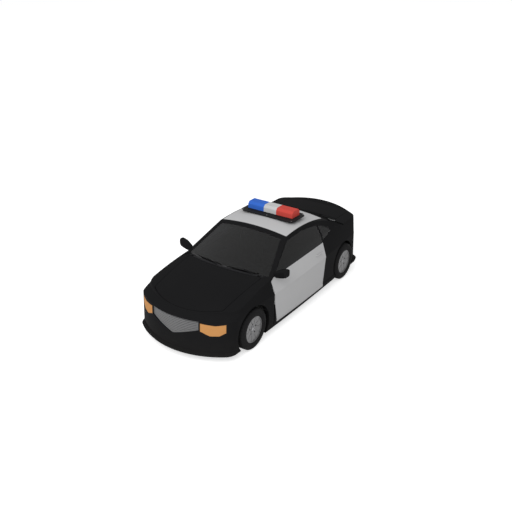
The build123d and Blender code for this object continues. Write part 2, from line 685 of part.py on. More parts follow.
def rear_suspension():
    """Beam axle with stub axles, trailing arms and spring towers."""
    y = REAR_AXLE_Y
    axle = bar_x(AXLE_R, -STEER_X, STEER_X, y, TYRE_R)
    spindle_end = WHEEL_X + HUB_DEPTH - SPINDLE_END_GAP
    axle += bar_x(SPINDLE_R, -spindle_end, spindle_end, y, TYRE_R)
    under_floor = FLOOR_Z - FLOOR_T
    foot = KICK_UP_Y - TRAIL_FOOT
    half = TRAIL_WIDTH / 2
    trail = [(y, TYRE_R - TRAIL_EYE), (y, TYRE_R + TRAIL_EYE),
             (KICK_UP_Y + TRAIL_BEND, under_floor - TRAIL_DROP), (KICK_UP_Y - TRAIL_FOOT / 3, under_floor),
             (foot, under_floor), (foot, under_floor - TRAIL_DEPTH), (KICK_UP_Y, under_floor - TRAIL_DEPTH)]
    for x in (ARM_X, -ARM_X):
        axle += side_prism(trail, x - half, x + half)
    for x in (SPRING_X, -SPRING_X):
        axle += bar_z(SPRING_R, x, y, TYRE_R, REAR_FLOOR_Z - FLOOR_T)
    solids["rear_axle"] = axle


def floor_and_walls():
    """Floor with its rear wheel houses, firewall, rear bulkhead and the inner front wings."""
    low = FLOOR_Z - FLOOR_T
    rear_low = REAR_FLOOR_Z - FLOOR_T
    firewall_back = FIREWALL_Y + FIREWALL_T
    kick_end = KICK_UP_Y + KICK_UP_RUN
    floor = side_prism([
        (firewall_back, low), (firewall_back, FLOOR_Z), (KICK_UP_Y, FLOOR_Z), (kick_end, REAR_FLOOR_Z),
        (REAR_FLOOR_END_Y, REAR_FLOOR_Z), (REAR_FLOOR_END_Y, rear_low), (kick_end + KICK_UP_T, rear_low),
        (KICK_UP_Y + KICK_UP_T, low)], -FAR, FAR)
    floor += block(-TUNNEL_X, TUNNEL_X, firewall_back, KICK_UP_Y, FLOOR_Z, TUNNEL_Z)
    for x0, x1 in ((LINER_REAR_X - LINER, FAR), (-FAR, LINER - LINER_REAR_X)):
        house = bar_x(REAR_ARCH_R + LINER, x0, x1, REAR_AXLE_Y, TYRE_R)
        floor += house & block(-FAR, FAR, -FAR, FAR, low, FAR)
    floor = floor & cabin_fit
    for arch in (rear_arch, right_of(rear_arch)):
        floor -= arch
    floor -= bar_x(AXLE_R + AXLE_ROOM, -FAR, FAR, REAR_AXLE_Y, TYRE_R)
    solids["floor_pan"] = floor

    firewall = block(-FAR, FAR, FIREWALL_Y, firewall_back, low, FAR) & cabin_fit
    bulkhead = block(-FAR, FAR, BULKHEAD_Y, BULKHEAD_Y + BULKHEAD_T, REAR_FLOOR_Z, FAR) & cabin_fit
    for x0, x1 in ((LINER_REAR_X - LINER - SEAM, FAR), (-FAR, LINER + SEAM - LINER_REAR_X)):
        bulkhead -= bar_x(REAR_ARCH_R + LINER + SEAM, x0, x1, REAR_AXLE_Y, TYRE_R)
    solids["bulkheads"] = [firewall, bulkhead]

    inner_x = LINER_FRONT_X - LINER
    apron = bar_x(FRONT_ARCH_R + LINER, inner_x, FAR, FRONT_AXLE_Y, TYRE_R)
    apron += block(inner_x, LINER_FRONT_X, WING_FRONT_Y, FIREWALL_Y, low, TYRE_R + FRONT_ARCH_R)
    apron = (apron & cabin_fit) & block(0, FAR, WING_FRONT_Y, FIREWALL_Y, low, FAR)
    apron -= front_arch
    apron -= block(0, FAR, FRONT_AXLE_Y - ARM_ROOM, FRONT_AXLE_Y + ARM_ROOM, 0,
                   TYRE_R + ARM_SPREAD + ARM_T + ARM_ROOM - ARM_HALF)
    solids["inner_wings"] = [apron, right_of(apron)]


def engine_and_exhaust():
    """The engine as one block on its mounts, and the exhaust under the floor."""
    seat_z = TYRE_R - ARM_SPREAD + BEAM_RISE
    sump_z = seat_z + ENGINE_MOUNT
    width, length, height = ENGINE
    back_y = ENGINE_Y + length / 2
    engine = block(-width / 2, width / 2, ENGINE_Y - length / 2, back_y, sump_z, sump_z + height)
    for x in (-ENGINE_MOUNT_X, ENGINE_MOUNT_X):
        engine += block(x - BEAM_HALF, x + BEAM_HALF, FRONT_AXLE_Y - ARM_ROOM, FRONT_AXLE_Y + ARM_ROOM,
                        seat_z, sump_z + LAP)
    solids["engine_block"] = engine

    low = FLOOR_Z - FLOOR_T
    pipe_z = low - EXHAUST_R - EXHAUST_GAP
    start = back_y - 2 * EXHAUST_R
    exhaust = bar_y(EXHAUST_R, EXHAUST_X, start, MUFFLER_Y, pipe_z)
    exhaust += bar_z(EXHAUST_R, EXHAUST_X, start, pipe_z, sump_z)
    muffler_x = EXHAUST_X - MUFFLER[0] / 3
    muffler = Pos(muffler_x, MUFFLER_Y + MUFFLER[1] / 2, pipe_z + MUFFLER[2] / 3) * Box(*MUFFLER)
    exhaust += fillet(muffler.edges().filter_by(Axis.X), MUFFLER_ROUND)
    exhaust += bar_y(TAILPIPE_R, TAILPIPE_X, MUFFLER_Y + MUFFLER[1] - TAILPIPE_R, TAIL_Y - TAILPIPE_SET_BACK,
                     TAILPIPE_Z)
    hangers = [(EXHAUST_X, y, low) for y in HANGER_Y]
    hangers.append((muffler_x, MUFFLER_Y + MUFFLER[1] / 2, REAR_FLOOR_Z - FLOOR_T))
    for x, y, top in hangers:
        exhaust += block(x - HANGER / 2, x + HANGER / 2, y - HANGER / 2, y + HANGER / 2, pipe_z, top)
    solids["exhaust"] = exhaust
    solids["rear_bumper"] -= bar_y(TAILPIPE_R + TAILPIPE_ROOM, TAILPIPE_X, MUFFLER_Y, FAR, TAILPIPE_Z)


def interior():
    """Dashboard with its instrument hood, steering wheel, two front seats and a rear bench."""
    face_y = FIREWALL_Y + FIREWALL_T
    dash = side_prism([(face_y, DASH_SECTION[-1][1]), (face_y, DASH_SECTION[0][1])] + DASH_SECTION, -FAR, FAR)
    dash = dash & hollow(DASH_DOOR_GAP)
    dash += side_prism(HOOD_SECTION, SEAT_X - HOOD_X, SEAT_X + HOOD_X)
    tilt = radians(STEERING_TILT)
    wheel_plane = Plane(origin=STEERING_WHEEL, x_dir=(1, 0, 0), z_dir=(0, cos(tilt), sin(tilt)))
    dash -= wheel_plane * Pos(0, 0, -COLUMN_LENGTH) * Cylinder(COLUMN_R + PIN_FIT, COLUMN_LENGTH)
    solids["dashboard"] = dash
    grip = Plane.XZ * Pos(STEERING_R, 0) * RegularPolygon(STEERING_GRIP_R, STEERING_GRIP_SIDES)
    wheel = revolve(grip, Axis.Z, 360)
    wheel += Pos(0, 0, -STEERING_BOSS / 4) * Cylinder(STEERING_BOSS, STEERING_BOSS)
    spoke = Pos(STEERING_R / 2, 0, 0) * Box(STEERING_R, STEERING_SPOKE, STEERING_GRIP_R)
    for angle in STEERING_SPOKES:
        wheel += Rot(0, 0, angle) * spoke
    wheel += Pos(0, 0, -COLUMN_LENGTH / 2) * Cylinder(COLUMN_R, COLUMN_LENGTH)
    solids["steering_wheel"] = wheel_plane * wheel

    seat = block(-SEAT_FRAME_X, SEAT_FRAME_X, *SEAT_FRAME_Y, FLOOR_Z, SEAT_CUSHION[0][1] + LAP)
    for outline, half in ((SEAT_CUSHION, SEAT_CUSHION_X), (SEAT_BACK, SEAT_BACK_X),
                          (HEADREST_POST, HEADREST_POST_X), (HEADREST, HEADREST_X)):
        seat += side_prism(outline, -half, half)
    solids["front_seats"] = [Pos(SEAT_X, 0, 0) * seat, Pos(-SEAT_X, 0, 0) * seat]

    kick_end = KICK_UP_Y + KICK_UP_RUN
    back_top = BENCH_SECTION[-1][1]
    bench = side_prism([(BENCH_FRONT_Y, FLOOR_Z)] + BENCH_SECTION + [
        (BULKHEAD_Y, back_top), (BULKHEAD_Y, REAR_FLOOR_Z), (kick_end - LAP, REAR_FLOOR_Z),
        (KICK_UP_Y - LAP, FLOOR_Z)], -BENCH_X, BENCH_X)
    tunnel = block(-TUNNEL_X - LAP, TUNNEL_X + LAP, 0, KICK_UP_Y + LAP, 0, TUNNEL_Z + LAP)
    solids["rear_bench"] = bench - tunnel


def light_bar():
    """Base plate on its feet, and the blue, white and red lenses."""
    top = BAR_BASE_Z + BAR_BASE_T
    plate = Box(BAR_BASE[0], BAR_BASE[1], BAR_BASE_T)
    plate = chamfer(plate.edges().filter_by(Axis.Z), BAR_CORNER)
    base = Pos(0, BAR_MIDDLE_Y, BAR_BASE_Z + BAR_BASE_T / 2) * plate
    half_foot = BAR_FOOT[1] / 2
    for x in (BAR_FOOT_X, -BAR_FOOT_X):
        foot = block(x - BAR_FOOT[0] / 2, x + BAR_FOOT[0] / 2, BAR_MIDDLE_Y - half_foot,
                     BAR_MIDDLE_Y + half_foot, BAR_BASE_Z - BAR_FOOT[2], BAR_BASE_Z + LAP)
        base += foot - (Pos(0, 0, SEAM) * top_form())
    solids["lightbar_base"] = base
    half = BAR_LENS[0] / 2
    low_y = BAR_LENS_Y - BAR_LENS[1] / 2
    high_y = BAR_LENS_Y + BAR_LENS[1] / 2
    section = [(low_y, top), (low_y, BAR_TOP_Z - BAR_SHOULDER), (low_y + BAR_SHOULDER, BAR_TOP_Z),
               (high_y - BAR_SHOULDER, BAR_TOP_Z), (high_y, BAR_TOP_Z - BAR_SHOULDER), (high_y, top)]
    solids["lightbar_blue"] = side_prism(section, -half, -BAR_SPLIT_X - SEAM)
    solids["lightbar_white"] = side_prism(section, -BAR_SPLIT_X, BAR_SPLIT_X)
    solids["lightbar_red"] = side_prism(section, BAR_SPLIT_X + SEAM, half)


front_panels()
roof_panels()
boot_skin = rear_panels()
body_side, door_shell, door_pane = side_panels()
body_side, door_shell = door_hinges(body_side, door_shell)
bonnet_skin = skin & plan_prism(bonnet_plan(0, 0), BONNET_CUT_Z, FAR)
solids["bonnet"] = with_lid_arms(bonnet_skin, BONNET_HINGE, (0, -1, 0), BONNET_ARM)
solids["boot_lid"] = with_lid_arms(boot_skin, BOOT_HINGE, (0, 1, 0), BOOT_ARM)
for name, solid in (("body_side", body_side), ("door", door_shell), ("door_glass", door_pane),
                    ("mirror", door_mirror())):
    solids[name + "_left"] = solid
    solids[name + "_right"] = right_of(solid)
wheels()
front_suspension()
rear_suspension()
floor_and_walls()
engine_and_exhaust()
interior()
light_bar()

for name, piece in solids.items():
    pieces = piece if isinstance(piece, list) else [piece]
    export_step(Compound(children=[s for p in pieces for s in p.solids()]), f"parts/{name}.step")
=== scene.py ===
"""Looks of a two-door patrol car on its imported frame: paint, tinted glass, lamps, tyres, trim and seats.

Sizes are in metres. The nose points along -Y, the car's left side is +X and +Z is up.
"""
import json
import math

import bmesh
import bpy
from mathutils import Matrix, Vector
from mathutils.bvhtree import BVHTree

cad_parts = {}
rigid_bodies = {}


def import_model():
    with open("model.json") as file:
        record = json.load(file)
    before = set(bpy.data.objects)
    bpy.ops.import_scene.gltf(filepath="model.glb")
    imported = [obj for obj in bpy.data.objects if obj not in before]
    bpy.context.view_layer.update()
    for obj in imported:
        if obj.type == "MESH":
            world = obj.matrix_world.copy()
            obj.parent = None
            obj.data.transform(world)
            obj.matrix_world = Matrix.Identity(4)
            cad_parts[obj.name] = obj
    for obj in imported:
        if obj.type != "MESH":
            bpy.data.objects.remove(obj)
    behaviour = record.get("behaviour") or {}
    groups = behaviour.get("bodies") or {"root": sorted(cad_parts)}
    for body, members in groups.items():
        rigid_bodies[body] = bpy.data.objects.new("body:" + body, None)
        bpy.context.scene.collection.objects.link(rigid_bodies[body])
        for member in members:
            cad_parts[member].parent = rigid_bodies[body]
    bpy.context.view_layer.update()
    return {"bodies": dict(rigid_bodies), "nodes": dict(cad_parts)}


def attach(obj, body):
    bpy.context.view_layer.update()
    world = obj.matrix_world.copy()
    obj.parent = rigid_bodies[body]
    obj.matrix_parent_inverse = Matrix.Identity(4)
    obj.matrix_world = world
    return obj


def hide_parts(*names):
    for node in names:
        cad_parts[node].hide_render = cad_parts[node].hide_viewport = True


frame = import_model()
NODES = frame["nodes"]
SIDES = {"left": 1, "right": -1}
ENDS = ("front", "rear")

# Camera at the photograph's viewing angle
TARGET = Vector((0, 0, 0.748))
CAMERA_AZIMUTH = math.radians(34.70)
CAMERA_ELEVATION = math.radians(25.76)
CAMERA_DISTANCE = 11.681
LENS = 50
SENSOR = 36

# Light
AMBIENT = 0.60
KEY_PLACE = (1.2, -6.8, 7.2)
KEY_SIZE = 6.5
KEY_POWER = 420
FLOOR_RADIUS = 45
FLOOR_COLOUR = (0.80, 0.80, 0.80, 1)
FLOOR_LIFT = 0.62
FLOOR_ROUGHNESS = 0.9
FLOOR_SIDES = 96


# Shared surface effects

def new_group(name, inputs, outputs):
    """A shader node group with named sockets; returns its tree, input node and output node."""
    tree = bpy.data.node_groups.new(name, "ShaderNodeTree")
    for label, kind, value in inputs:
        socket = tree.interface.new_socket(label, in_out="INPUT", socket_type="NodeSocket" + kind)
        socket.default_value = value
    for label, kind in outputs:
        tree.interface.new_socket(label, in_out="OUTPUT", socket_type="NodeSocket" + kind)
    return tree, tree.nodes.new("NodeGroupInput"), tree.nodes.new("NodeGroupOutput")


def feed(tree, value, socket):
    """Sets a socket to a plain value, or links another socket to it."""
    if isinstance(value, (int, float, tuple)):
        socket.default_value = value
    else:
        tree.links.new(value, socket)


def math_node(tree, operation, first, second=0.5, third=0.5):
    """A math node; each operand is a number or an output socket."""
    node = tree.nodes.new("ShaderNodeMath")
    node.operation = operation
    for socket, value in zip(node.inputs, (first, second, third)):
        feed(tree, value, socket)
    return node.outputs[0]


def object_place(tree):
    """Coordinates that stay with the piece."""
    return tree.nodes.new("ShaderNodeTexCoord").outputs["Object"]


def noise(tree, scale, detail=3.0):
    """Noise fixed to the piece; scale is a number or a socket."""
    node = tree.nodes.new("ShaderNodeTexNoise")
    node.inputs["Detail"].default_value = detail
    tree.links.new(object_place(tree), node.inputs["Vector"])
    feed(tree, scale, node.inputs["Scale"])
    return node.outputs["Fac"]


# Places of the colour mix's sockets among the node's own
MIX_FACTOR = 0
MIX_FIRST = 6
MIX_SECOND = 7
MIX_RESULT = 2


def mix_colour(tree, factor, first, second, blend="MIX"):
    """A colour mix; each colour is a tuple or a socket."""
    node = tree.nodes.new("ShaderNodeMix")
    node.data_type = "RGBA"
    node.blend_type = blend
    for place, value in ((MIX_FACTOR, factor), (MIX_FIRST, first), (MIX_SECOND, second)):
        feed(tree, value, node.inputs[place])
    return node.outputs[MIX_RESULT]


def mottle_group():
    """Slow drift of colour and gloss over a surface, with a fine grain for its bump."""
    tree, given, out = new_group("mottle", [
        ("Color", "Color", (0.5, 0.5, 0.5, 1)), ("Roughness", "Float", 0.5), ("Drift", "Float", 0.1),
        ("Drift Scale", "Float", 3.0), ("Grain Scale", "Float", 300.0)],
        [("Color", "Color"), ("Roughness", "Float"), ("Height", "Float")])
    slow = math_node(tree, "SUBTRACT", noise(tree, given.outputs["Drift Scale"]), 0.5)
    swing = math_node(tree, "MULTIPLY", slow, given.outputs["Drift"])
    shade = math_node(tree, "MULTIPLY_ADD", swing, 2.0, 1.0)
    grey = tree.nodes.new("ShaderNodeCombineColor")
    for channel in grey.inputs[:3]:
        tree.links.new(shade, channel)
    shaded = mix_colour(tree, 1.0, given.outputs["Color"], grey.outputs[0], "MULTIPLY")
    tree.links.new(shaded, out.inputs["Color"])
    tree.links.new(math_node(tree, "MULTIPLY", given.outputs["Roughness"], shade), out.inputs["Roughness"])
    tree.links.new(noise(tree, given.outputs["Grain Scale"], 2.0), out.inputs["Height"])
    return tree


DUST_COLOUR = (0.16, 0.14, 0.115, 1)
DUST_SCALE = 7.0
DUST_DETAIL = 6.0


def road_dust_group():
    """Pale dust that thins out upwards from the ground."""
    tree, given, out = new_group("road_dust", [
        ("Color", "Color", (0.5, 0.5, 0.5, 1)), ("Roughness", "Float", 0.5), ("Top", "Float", 0.6),
        ("Amount", "Float", 0.2)], [("Color", "Color"), ("Roughness", "Float")])
    split = tree.nodes.new("ShaderNodeSeparateXYZ")
    tree.links.new(object_place(tree), split.inputs[0])
    rise = tree.nodes.new("ShaderNodeMapRange")
    tree.links.new(split.outputs["Z"], rise.inputs["Value"])
    tree.links.new(given.outputs["Top"], rise.inputs["From Max"])
    rise.inputs["To Min"].default_value = 1.0
    rise.inputs["To Max"].default_value = 0.0
    cloud = math_node(tree, "MULTIPLY", noise(tree, DUST_SCALE, DUST_DETAIL), rise.outputs[0])
    mask = math_node(tree, "MULTIPLY", cloud, given.outputs["Amount"])
    tree.links.new(mix_colour(tree, mask, given.outputs["Color"], DUST_COLOUR), out.inputs["Color"])
    tree.links.new(math_node(tree, "ADD", given.outputs["Roughness"], mask), out.inputs["Roughness"])
    return tree


def flutes_group():
    """Upright prisms moulded into a lamp's lens."""
    tree, given, out = new_group("flutes", [("Scale", "Float", 30.0)], [("Height", "Float")])
    wave = tree.nodes.new("ShaderNodeTexWave")
    wave.wave_profile = "SIN"
    tree.links.new(object_place(tree), wave.inputs["Vector"])
    tree.links.new(given.outputs["Scale"], wave.inputs["Scale"])
    tree.links.new(wave.outputs["Fac"], out.inputs["Height"])
    return tree


def weave_group():
    """Crossing threads of a woven cloth."""
    tree, given, out = new_group("weave", [
        ("Color", "Color", (0.1, 0.1, 0.1, 1)), ("Thread", "Color", (0.2, 0.2, 0.2, 1)),
        ("Scale", "Float", 900.0)], [("Color", "Color"), ("Height", "Float")])
    split = tree.nodes.new("ShaderNodeSeparateXYZ")
    tree.links.new(object_place(tree), split.inputs[0])
    along = math_node(tree, "ADD", split.outputs["Y"], split.outputs["Z"])
    threads = []
    for direction in (split.outputs["X"], along):
        count = math_node(tree, "MULTIPLY", direction, given.outputs["Scale"])
        threads.append(math_node(tree, "SINE", count))
    crossing = math_node(tree, "MULTIPLY", *threads)
    height = math_node(tree, "MULTIPLY_ADD", crossing, 0.5, 0.5)
    woven = mix_colour(tree, height, given.outputs["Color"], given.outputs["Thread"])
    tree.links.new(woven, out.inputs["Color"])
    tree.links.new(height, out.inputs["Height"])
    return tree


MOTTLE = mottle_group()
ROAD_DUST = road_dust_group()
FLUTES = flutes_group()
WEAVE = weave_group()


# Finishes

def add_group(tree, group, **values):
    """Places a shared effect in a material; underscores in a value's name stand for spaces."""
    node = tree.nodes.new("ShaderNodeGroup")
    node.node_tree = group
    for label, value in values.items():
        feed(tree, value, node.inputs[label.replace("_", " ")])
    return node.outputs


def bump(tree, height, distance, shader, strength=1.0):
    """Fine relief that feeds the shader's normal."""
    node = tree.nodes.new("ShaderNodeBump")
    node.inputs["Distance"].default_value = distance
    node.inputs["Strength"].default_value = strength
    tree.links.new(height, node.inputs["Height"])
    tree.links.new(node.outputs[0], shader.inputs["Normal"])


def surface(name, colour, roughness, drift=0.08, drift_scale=3.0, grain=300.0, relief=0.0, dust=0.0,
            dust_top=0.6, **plain):
    """A finish with drifting colour and gloss, fine relief and dust; plain values go on the shader."""
    material = bpy.data.materials.new(name + "_finish")
    material.use_nodes = True
    tree = material.node_tree
    shader = tree.nodes["Principled BSDF"]
    for label, value in plain.items():
        shader.inputs[label.replace("_", " ")].default_value = value
    base = add_group(tree, MOTTLE, Color=(*colour, 1), Roughness=roughness, Drift=drift,
                     Drift_Scale=drift_scale, Grain_Scale=grain)
    look = base
    if dust:
        look = add_group(tree, ROAD_DUST, Color=base["Color"], Roughness=base["Roughness"], Top=dust_top,
                         Amount=dust)
    tree.links.new(look["Color"], shader.inputs["Base Color"])
    tree.links.new(look["Roughness"], shader.inputs["Roughness"])
    if relief:
        bump(tree, base["Height"], relief, shader)
    return material


LENS_ROUGHNESS = 0.22
FLUTE_DEPTH = 0.004
FLUTE_STRENGTH = 0.5
CLOTH_ROUGHNESS = 0.9
WEAVE_DEPTH = 0.0008


def lens(name, colour, flute_scale):
    """A moulded lamp lens with flutes."""
    material = surface(name, colour, LENS_ROUGHNESS, drift=0.05, Specular_IOR_Level=0.0, Coat_Weight=0.06)
    tree = material.node_tree
    flutes = add_group(tree, FLUTES, Scale=flute_scale)
    bump(tree, flutes["Height"], FLUTE_DEPTH, tree.nodes["Principled BSDF"], FLUTE_STRENGTH)
    return material


def cloth(name, colour, thread, scale):
    """A woven cloth."""
    material = surface(name, colour, CLOTH_ROUGHNESS, Sheen_Weight=0.25, Specular_IOR_Level=0.2)
    tree = material.node_tree
    shader = tree.nodes["Principled BSDF"]
    weave = add_group(tree, WEAVE, Color=(*colour, 1), Thread=(*thread, 1), Scale=scale)
    tree.links.new(weave["Color"], shader.inputs["Base Color"])
    bump(tree, weave["Height"], WEAVE_DEPTH, shader)
    return material


FINISH = {
    "black_paint": surface("black_paint", (0.0102, 0.0102, 0.0108), 0.34, relief=0.00003, grain=420,
                           dust=0.06, dust_top=0.45, Specular_IOR_Level=0.0, Coat_Weight=0.05,
                           Coat_Roughness=0.04),
    "white_paint": surface("white_paint", (0.53, 0.53, 0.535), 0.36, drift=0.02, relief=0.00003, grain=420,
                           dust=0.10, dust_top=0.45, Specular_IOR_Level=0.0, Coat_Weight=0.10,
                           Coat_Roughness=0.04),
    "tinted_glass": surface("tinted_glass", (0.075, 0.078, 0.082), 0.03, drift=0.3,
                            Transmission_Weight=1.0, IOR=1.34),
    "side_glass": surface("side_glass", (0.045, 0.047, 0.050), 0.03, drift=0.3,
                          Transmission_Weight=1.0, IOR=1.26),
    "amber_lens": lens("amber_lens", (0.61, 0.294, 0.102), 26),
    "red_lens": lens("red_lens", (0.64, 0.079, 0.063), 22),
    "tail_lens": lens("tail_lens", (0.30, 0.012, 0.012), 26),
    "blue_lens": lens("blue_lens", (0.044, 0.155, 0.62), 22),
    "white_lens": lens("white_lens", (0.60, 0.60, 0.605), 22),
    "grille_plastic": surface("grille_plastic", (0.168, 0.168, 0.171), 0.45, relief=0.0002, grain=900,
                              dust=0.15, Specular_IOR_Level=0.3),
    "black_plastic": surface("black_plastic", (0.012, 0.012, 0.013), 0.70, relief=0.0003, grain=1200,
                             Specular_IOR_Level=0.1),
    "alloy": surface("alloy", (0.165, 0.165, 0.17), 0.38, relief=0.00005, grain=900, dust=0.25,
                     dust_top=0.7, Metallic=0.35),
    "tyre": surface("tyre", (0.0120, 0.0120, 0.0126), 0.85, drift=0.15, drift_scale=9, relief=0.0004,
                    grain=1500, dust=0.04, dust_top=0.7, Specular_IOR_Level=0.08),
    "chassis_steel": surface("chassis_steel", (0.030, 0.030, 0.032), 0.6, drift=0.2, relief=0.0004,
                             grain=500, dust=0.5, Specular_IOR_Level=0.3),
    "body_inner": surface("body_inner", (0.020, 0.020, 0.021), 0.6, drift=0.15, relief=0.0002, grain=700,
                          dust=0.2, Specular_IOR_Level=0.25),
    "exhaust_steel": surface("exhaust_steel", (0.22, 0.20, 0.18), 0.42, drift=0.3, drift_scale=6,
                             relief=0.0003, grain=600, dust=0.4, Metallic=0.8),
    "cast_iron": surface("cast_iron", (0.11, 0.11, 0.115), 0.6, drift=0.2, relief=0.0008, grain=800,
                         Metallic=0.6),
    "trim_plastic": surface("trim_plastic", (0.022, 0.022, 0.024), 0.62, relief=0.0005, grain=1300,
                            Specular_IOR_Level=0.3),
    "seat_fabric": cloth("seat_fabric", (0.030, 0.031, 0.034), (0.055, 0.056, 0.060), 1400),
    "rubber": surface("rubber", (0.010, 0.010, 0.010), 0.75, relief=0.0002, grain=900,
                      Specular_IOR_Level=0.2),
    "bolt_steel": surface("bolt_steel", (0.30, 0.30, 0.31), 0.35, relief=0.0001, grain=900, dust=0.2,
                          Metallic=0.9),
    "disc_iron": surface("disc_iron", (0.24, 0.23, 0.22), 0.35, drift=0.2, drift_scale=12, relief=0.0002,
                         grain=700, Metallic=0.9),
    "mirror_silver": surface("mirror_silver", (0.80, 0.81, 0.82), 0.02, drift=0.1, Metallic=1.0),
    "dark_screen": surface("dark_screen", (0.012, 0.012, 0.014), 0.08, drift=0.1, Coat_Weight=0.5),
    "felt": cloth("felt", (0.020, 0.020, 0.021), (0.032, 0.032, 0.034), 2600),
}

# Nodes whose finish differs from their slot's
NODE_FINISH = {"tail_lamps": "tail_lens", "door_glass_left": "side_glass", "door_glass_right": "side_glass",
               "quarter_glass": "side_glass"}


def dress_nodes():
    """Gives every node the finish of its slot in the record."""
    for name, piece in NODES.items():
        for held in piece.material_slots:
            held.material = FINISH[NODE_FINISH.get(name, held.material.name.split(".")[0])]


def photo_camera():
    """The camera at the photograph's viewing angle."""
    data = bpy.data.cameras.new("photo_camera")
    data.lens = LENS
    data.sensor_width = SENSOR
    camera = bpy.data.objects.new("photo_camera", data)
    bpy.context.scene.collection.objects.link(camera)
    level = math.cos(CAMERA_ELEVATION)
    outward = Vector((math.sin(CAMERA_AZIMUTH) * level, -math.cos(CAMERA_AZIMUTH) * level,
                      math.sin(CAMERA_ELEVATION)))
    camera.location = TARGET + CAMERA_DISTANCE * outward
    camera.rotation_euler = outward.to_track_quat("Z", "Y").to_euler()
    bpy.context.scene.camera = camera


def seen_rays(tree):
    """One for what is seen directly, in a reflection or through glass, and none for scattered light."""
    path = tree.nodes.new("ShaderNodeLightPath")
    straight = math_node(tree, "ADD", path.outputs["Is Camera Ray"], path.outputs["Is Glossy Ray"])
    seen = math_node(tree, "ADD", straight, path.outputs["Is Transmission Ray"])
    return math_node(tree, "MINIMUM", seen, 1.0)


def studio():
    """A white backdrop all round, one large soft lamp and a pale floor that keeps the shadow."""
    scene = bpy.context.scene
    scene.view_settings.view_transform = "Standard"
    world = bpy.data.worlds.new("studio")
    scene.world = world
    world.use_nodes = True
    tree = world.node_tree
    strength = math_node(tree, "MULTIPLY_ADD", seen_rays(tree), 1.0 - AMBIENT, AMBIENT)
    background = tree.nodes["Background"]
    background.inputs["Color"].default_value = (1, 1, 1, 1)
    tree.links.new(strength, background.inputs["Strength"])

    data = bpy.data.lights.new("soft_lamp", "AREA")
    data.size = KEY_SIZE
    data.energy = KEY_POWER
    lamp = bpy.data.objects.new("soft_lamp", data)
    scene.collection.objects.link(lamp)
    lamp.location = KEY_PLACE
    lamp.visible_glossy = False
    lamp.rotation_euler = (lamp.location - TARGET).to_track_quat("Z", "Y").to_euler()

    mesh = bpy.data.meshes.new("floor")
    build = bmesh.new()
    bmesh.ops.create_circle(build, cap_ends=True, segments=FLOOR_SIDES, radius=FLOOR_RADIUS)
    build.to_mesh(mesh)
    build.free()
    floor = bpy.data.objects.new("floor", mesh)
    scene.collection.objects.link(floor)
    material = bpy.data.materials.new("pale_floor")
    material.use_nodes = True
    tree = material.node_tree
    shader = tree.nodes["Principled BSDF"]
    shader.inputs["Base Color"].default_value = FLOOR_COLOUR
    shader.inputs["Roughness"].default_value = FLOOR_ROUGHNESS
    shader.inputs["Specular IOR Level"].default_value = 0.0
    shader.inputs["Emission Color"].default_value = (1, 1, 1, 1)
    lift = math_node(tree, "MULTIPLY", seen_rays(tree), FLOOR_LIFT)
    tree.links.new(lift, shader.inputs["Emission Strength"])
    mesh.materials.append(material)


# Shapes

def evenly(low, high, steps):
    """Evenly spaced values from low to high, with both ends."""
    return [low + (high - low) * step / steps for step in range(steps + 1)]


def turns(steps):
    """Evenly spaced angles of a full turn."""
    return [math.tau * step / steps for step in range(steps)]


def round_line(centre, side, x, radius, angle):
    """A point round a line along X, from its distance outboard of the centre, its radius and its angle."""
    return (centre[0] + side * x, centre[1] + radius * math.cos(angle), centre[2] + radius * math.sin(angle))


def join_rings(build, rings, around=False, capped=False):
    """Faces between rings of like points.

    around joins the last ring to the first, and capped fills the two end rings.
    """
    count = len(rings[0])
    for index in range(len(rings) if around else len(rings) - 1):
        here = rings[index]
        after = rings[(index + 1) % len(rings)]
        for place in range(count):
            beside = (place + 1) % count
            build.faces.new((here[place], here[beside], after[beside], after[place]))
    if capped:
        build.faces.new(rings[0])
        build.faces.new(rings[-1])


def round_edges(build, made, bevel, steps):
    """Rounds all the edges of the points just made."""
    edges = list(dict.fromkeys(edge for vert in made for edge in vert.link_edges))
    bmesh.ops.bevel(build, geom=edges, offset=bevel, segments=steps, profile=0.5, affect="EDGES")


def add_block(build, low, high, bevel, steps, turn=Matrix()):
    """A block with rounded edges between two corners, turned about its middle."""
    low = Vector(low)
    high = Vector(high)
    place = Matrix.Translation((low + high) / 2) @ turn @ Matrix.Diagonal((*(high - low), 1))
    made = bmesh.ops.create_cube(build, size=1, matrix=place)["verts"]
    round_edges(build, made, bevel, steps)


def add_prism(build, outline, low, high, bevel, steps):
    """An outline seen from the side (y, z), run from one x to another, with rounded edges."""
    rings = [[build.verts.new((x, y, z)) for y, z in outline] for x in (low, high)]
    join_rings(build, rings, capped=True)
    round_edges(build, rings[0] + rings[1], bevel, steps)


def add_turned(build, profile, centre, side, steps):
    """A form turned about a line along X; the profile's columns are distance outboard and radius."""
    rings = []
    for angle in turns(steps):
        rings.append([build.verts.new(round_line(centre, side, x, radius, angle)) for x, radius in profile])
    join_rings(build, rings, around=True)


def add_tube(build, points, radius, sides=8, closed=False):
    """A round bar along a line of points."""
    points = [Vector(point) for point in points]
    count = len(points)
    across = None
    rings = []
    for index, point in enumerate(points):
        before = points[index - 1] if closed or index else point
        after = points[(index + 1) % count] if closed or index + 1 < count else point
        along = (after - before).normalized()
        across = (across - along * across.dot(along) if across else along.orthogonal()).normalized()
        other = along.cross(across)
        ring = []
        for angle in turns(sides):
            way = math.cos(angle) * across + math.sin(angle) * other
            ring.append(build.verts.new(point + radius * way))
        rings.append(ring)
    join_rings(build, rings, around=closed, capped=not closed)


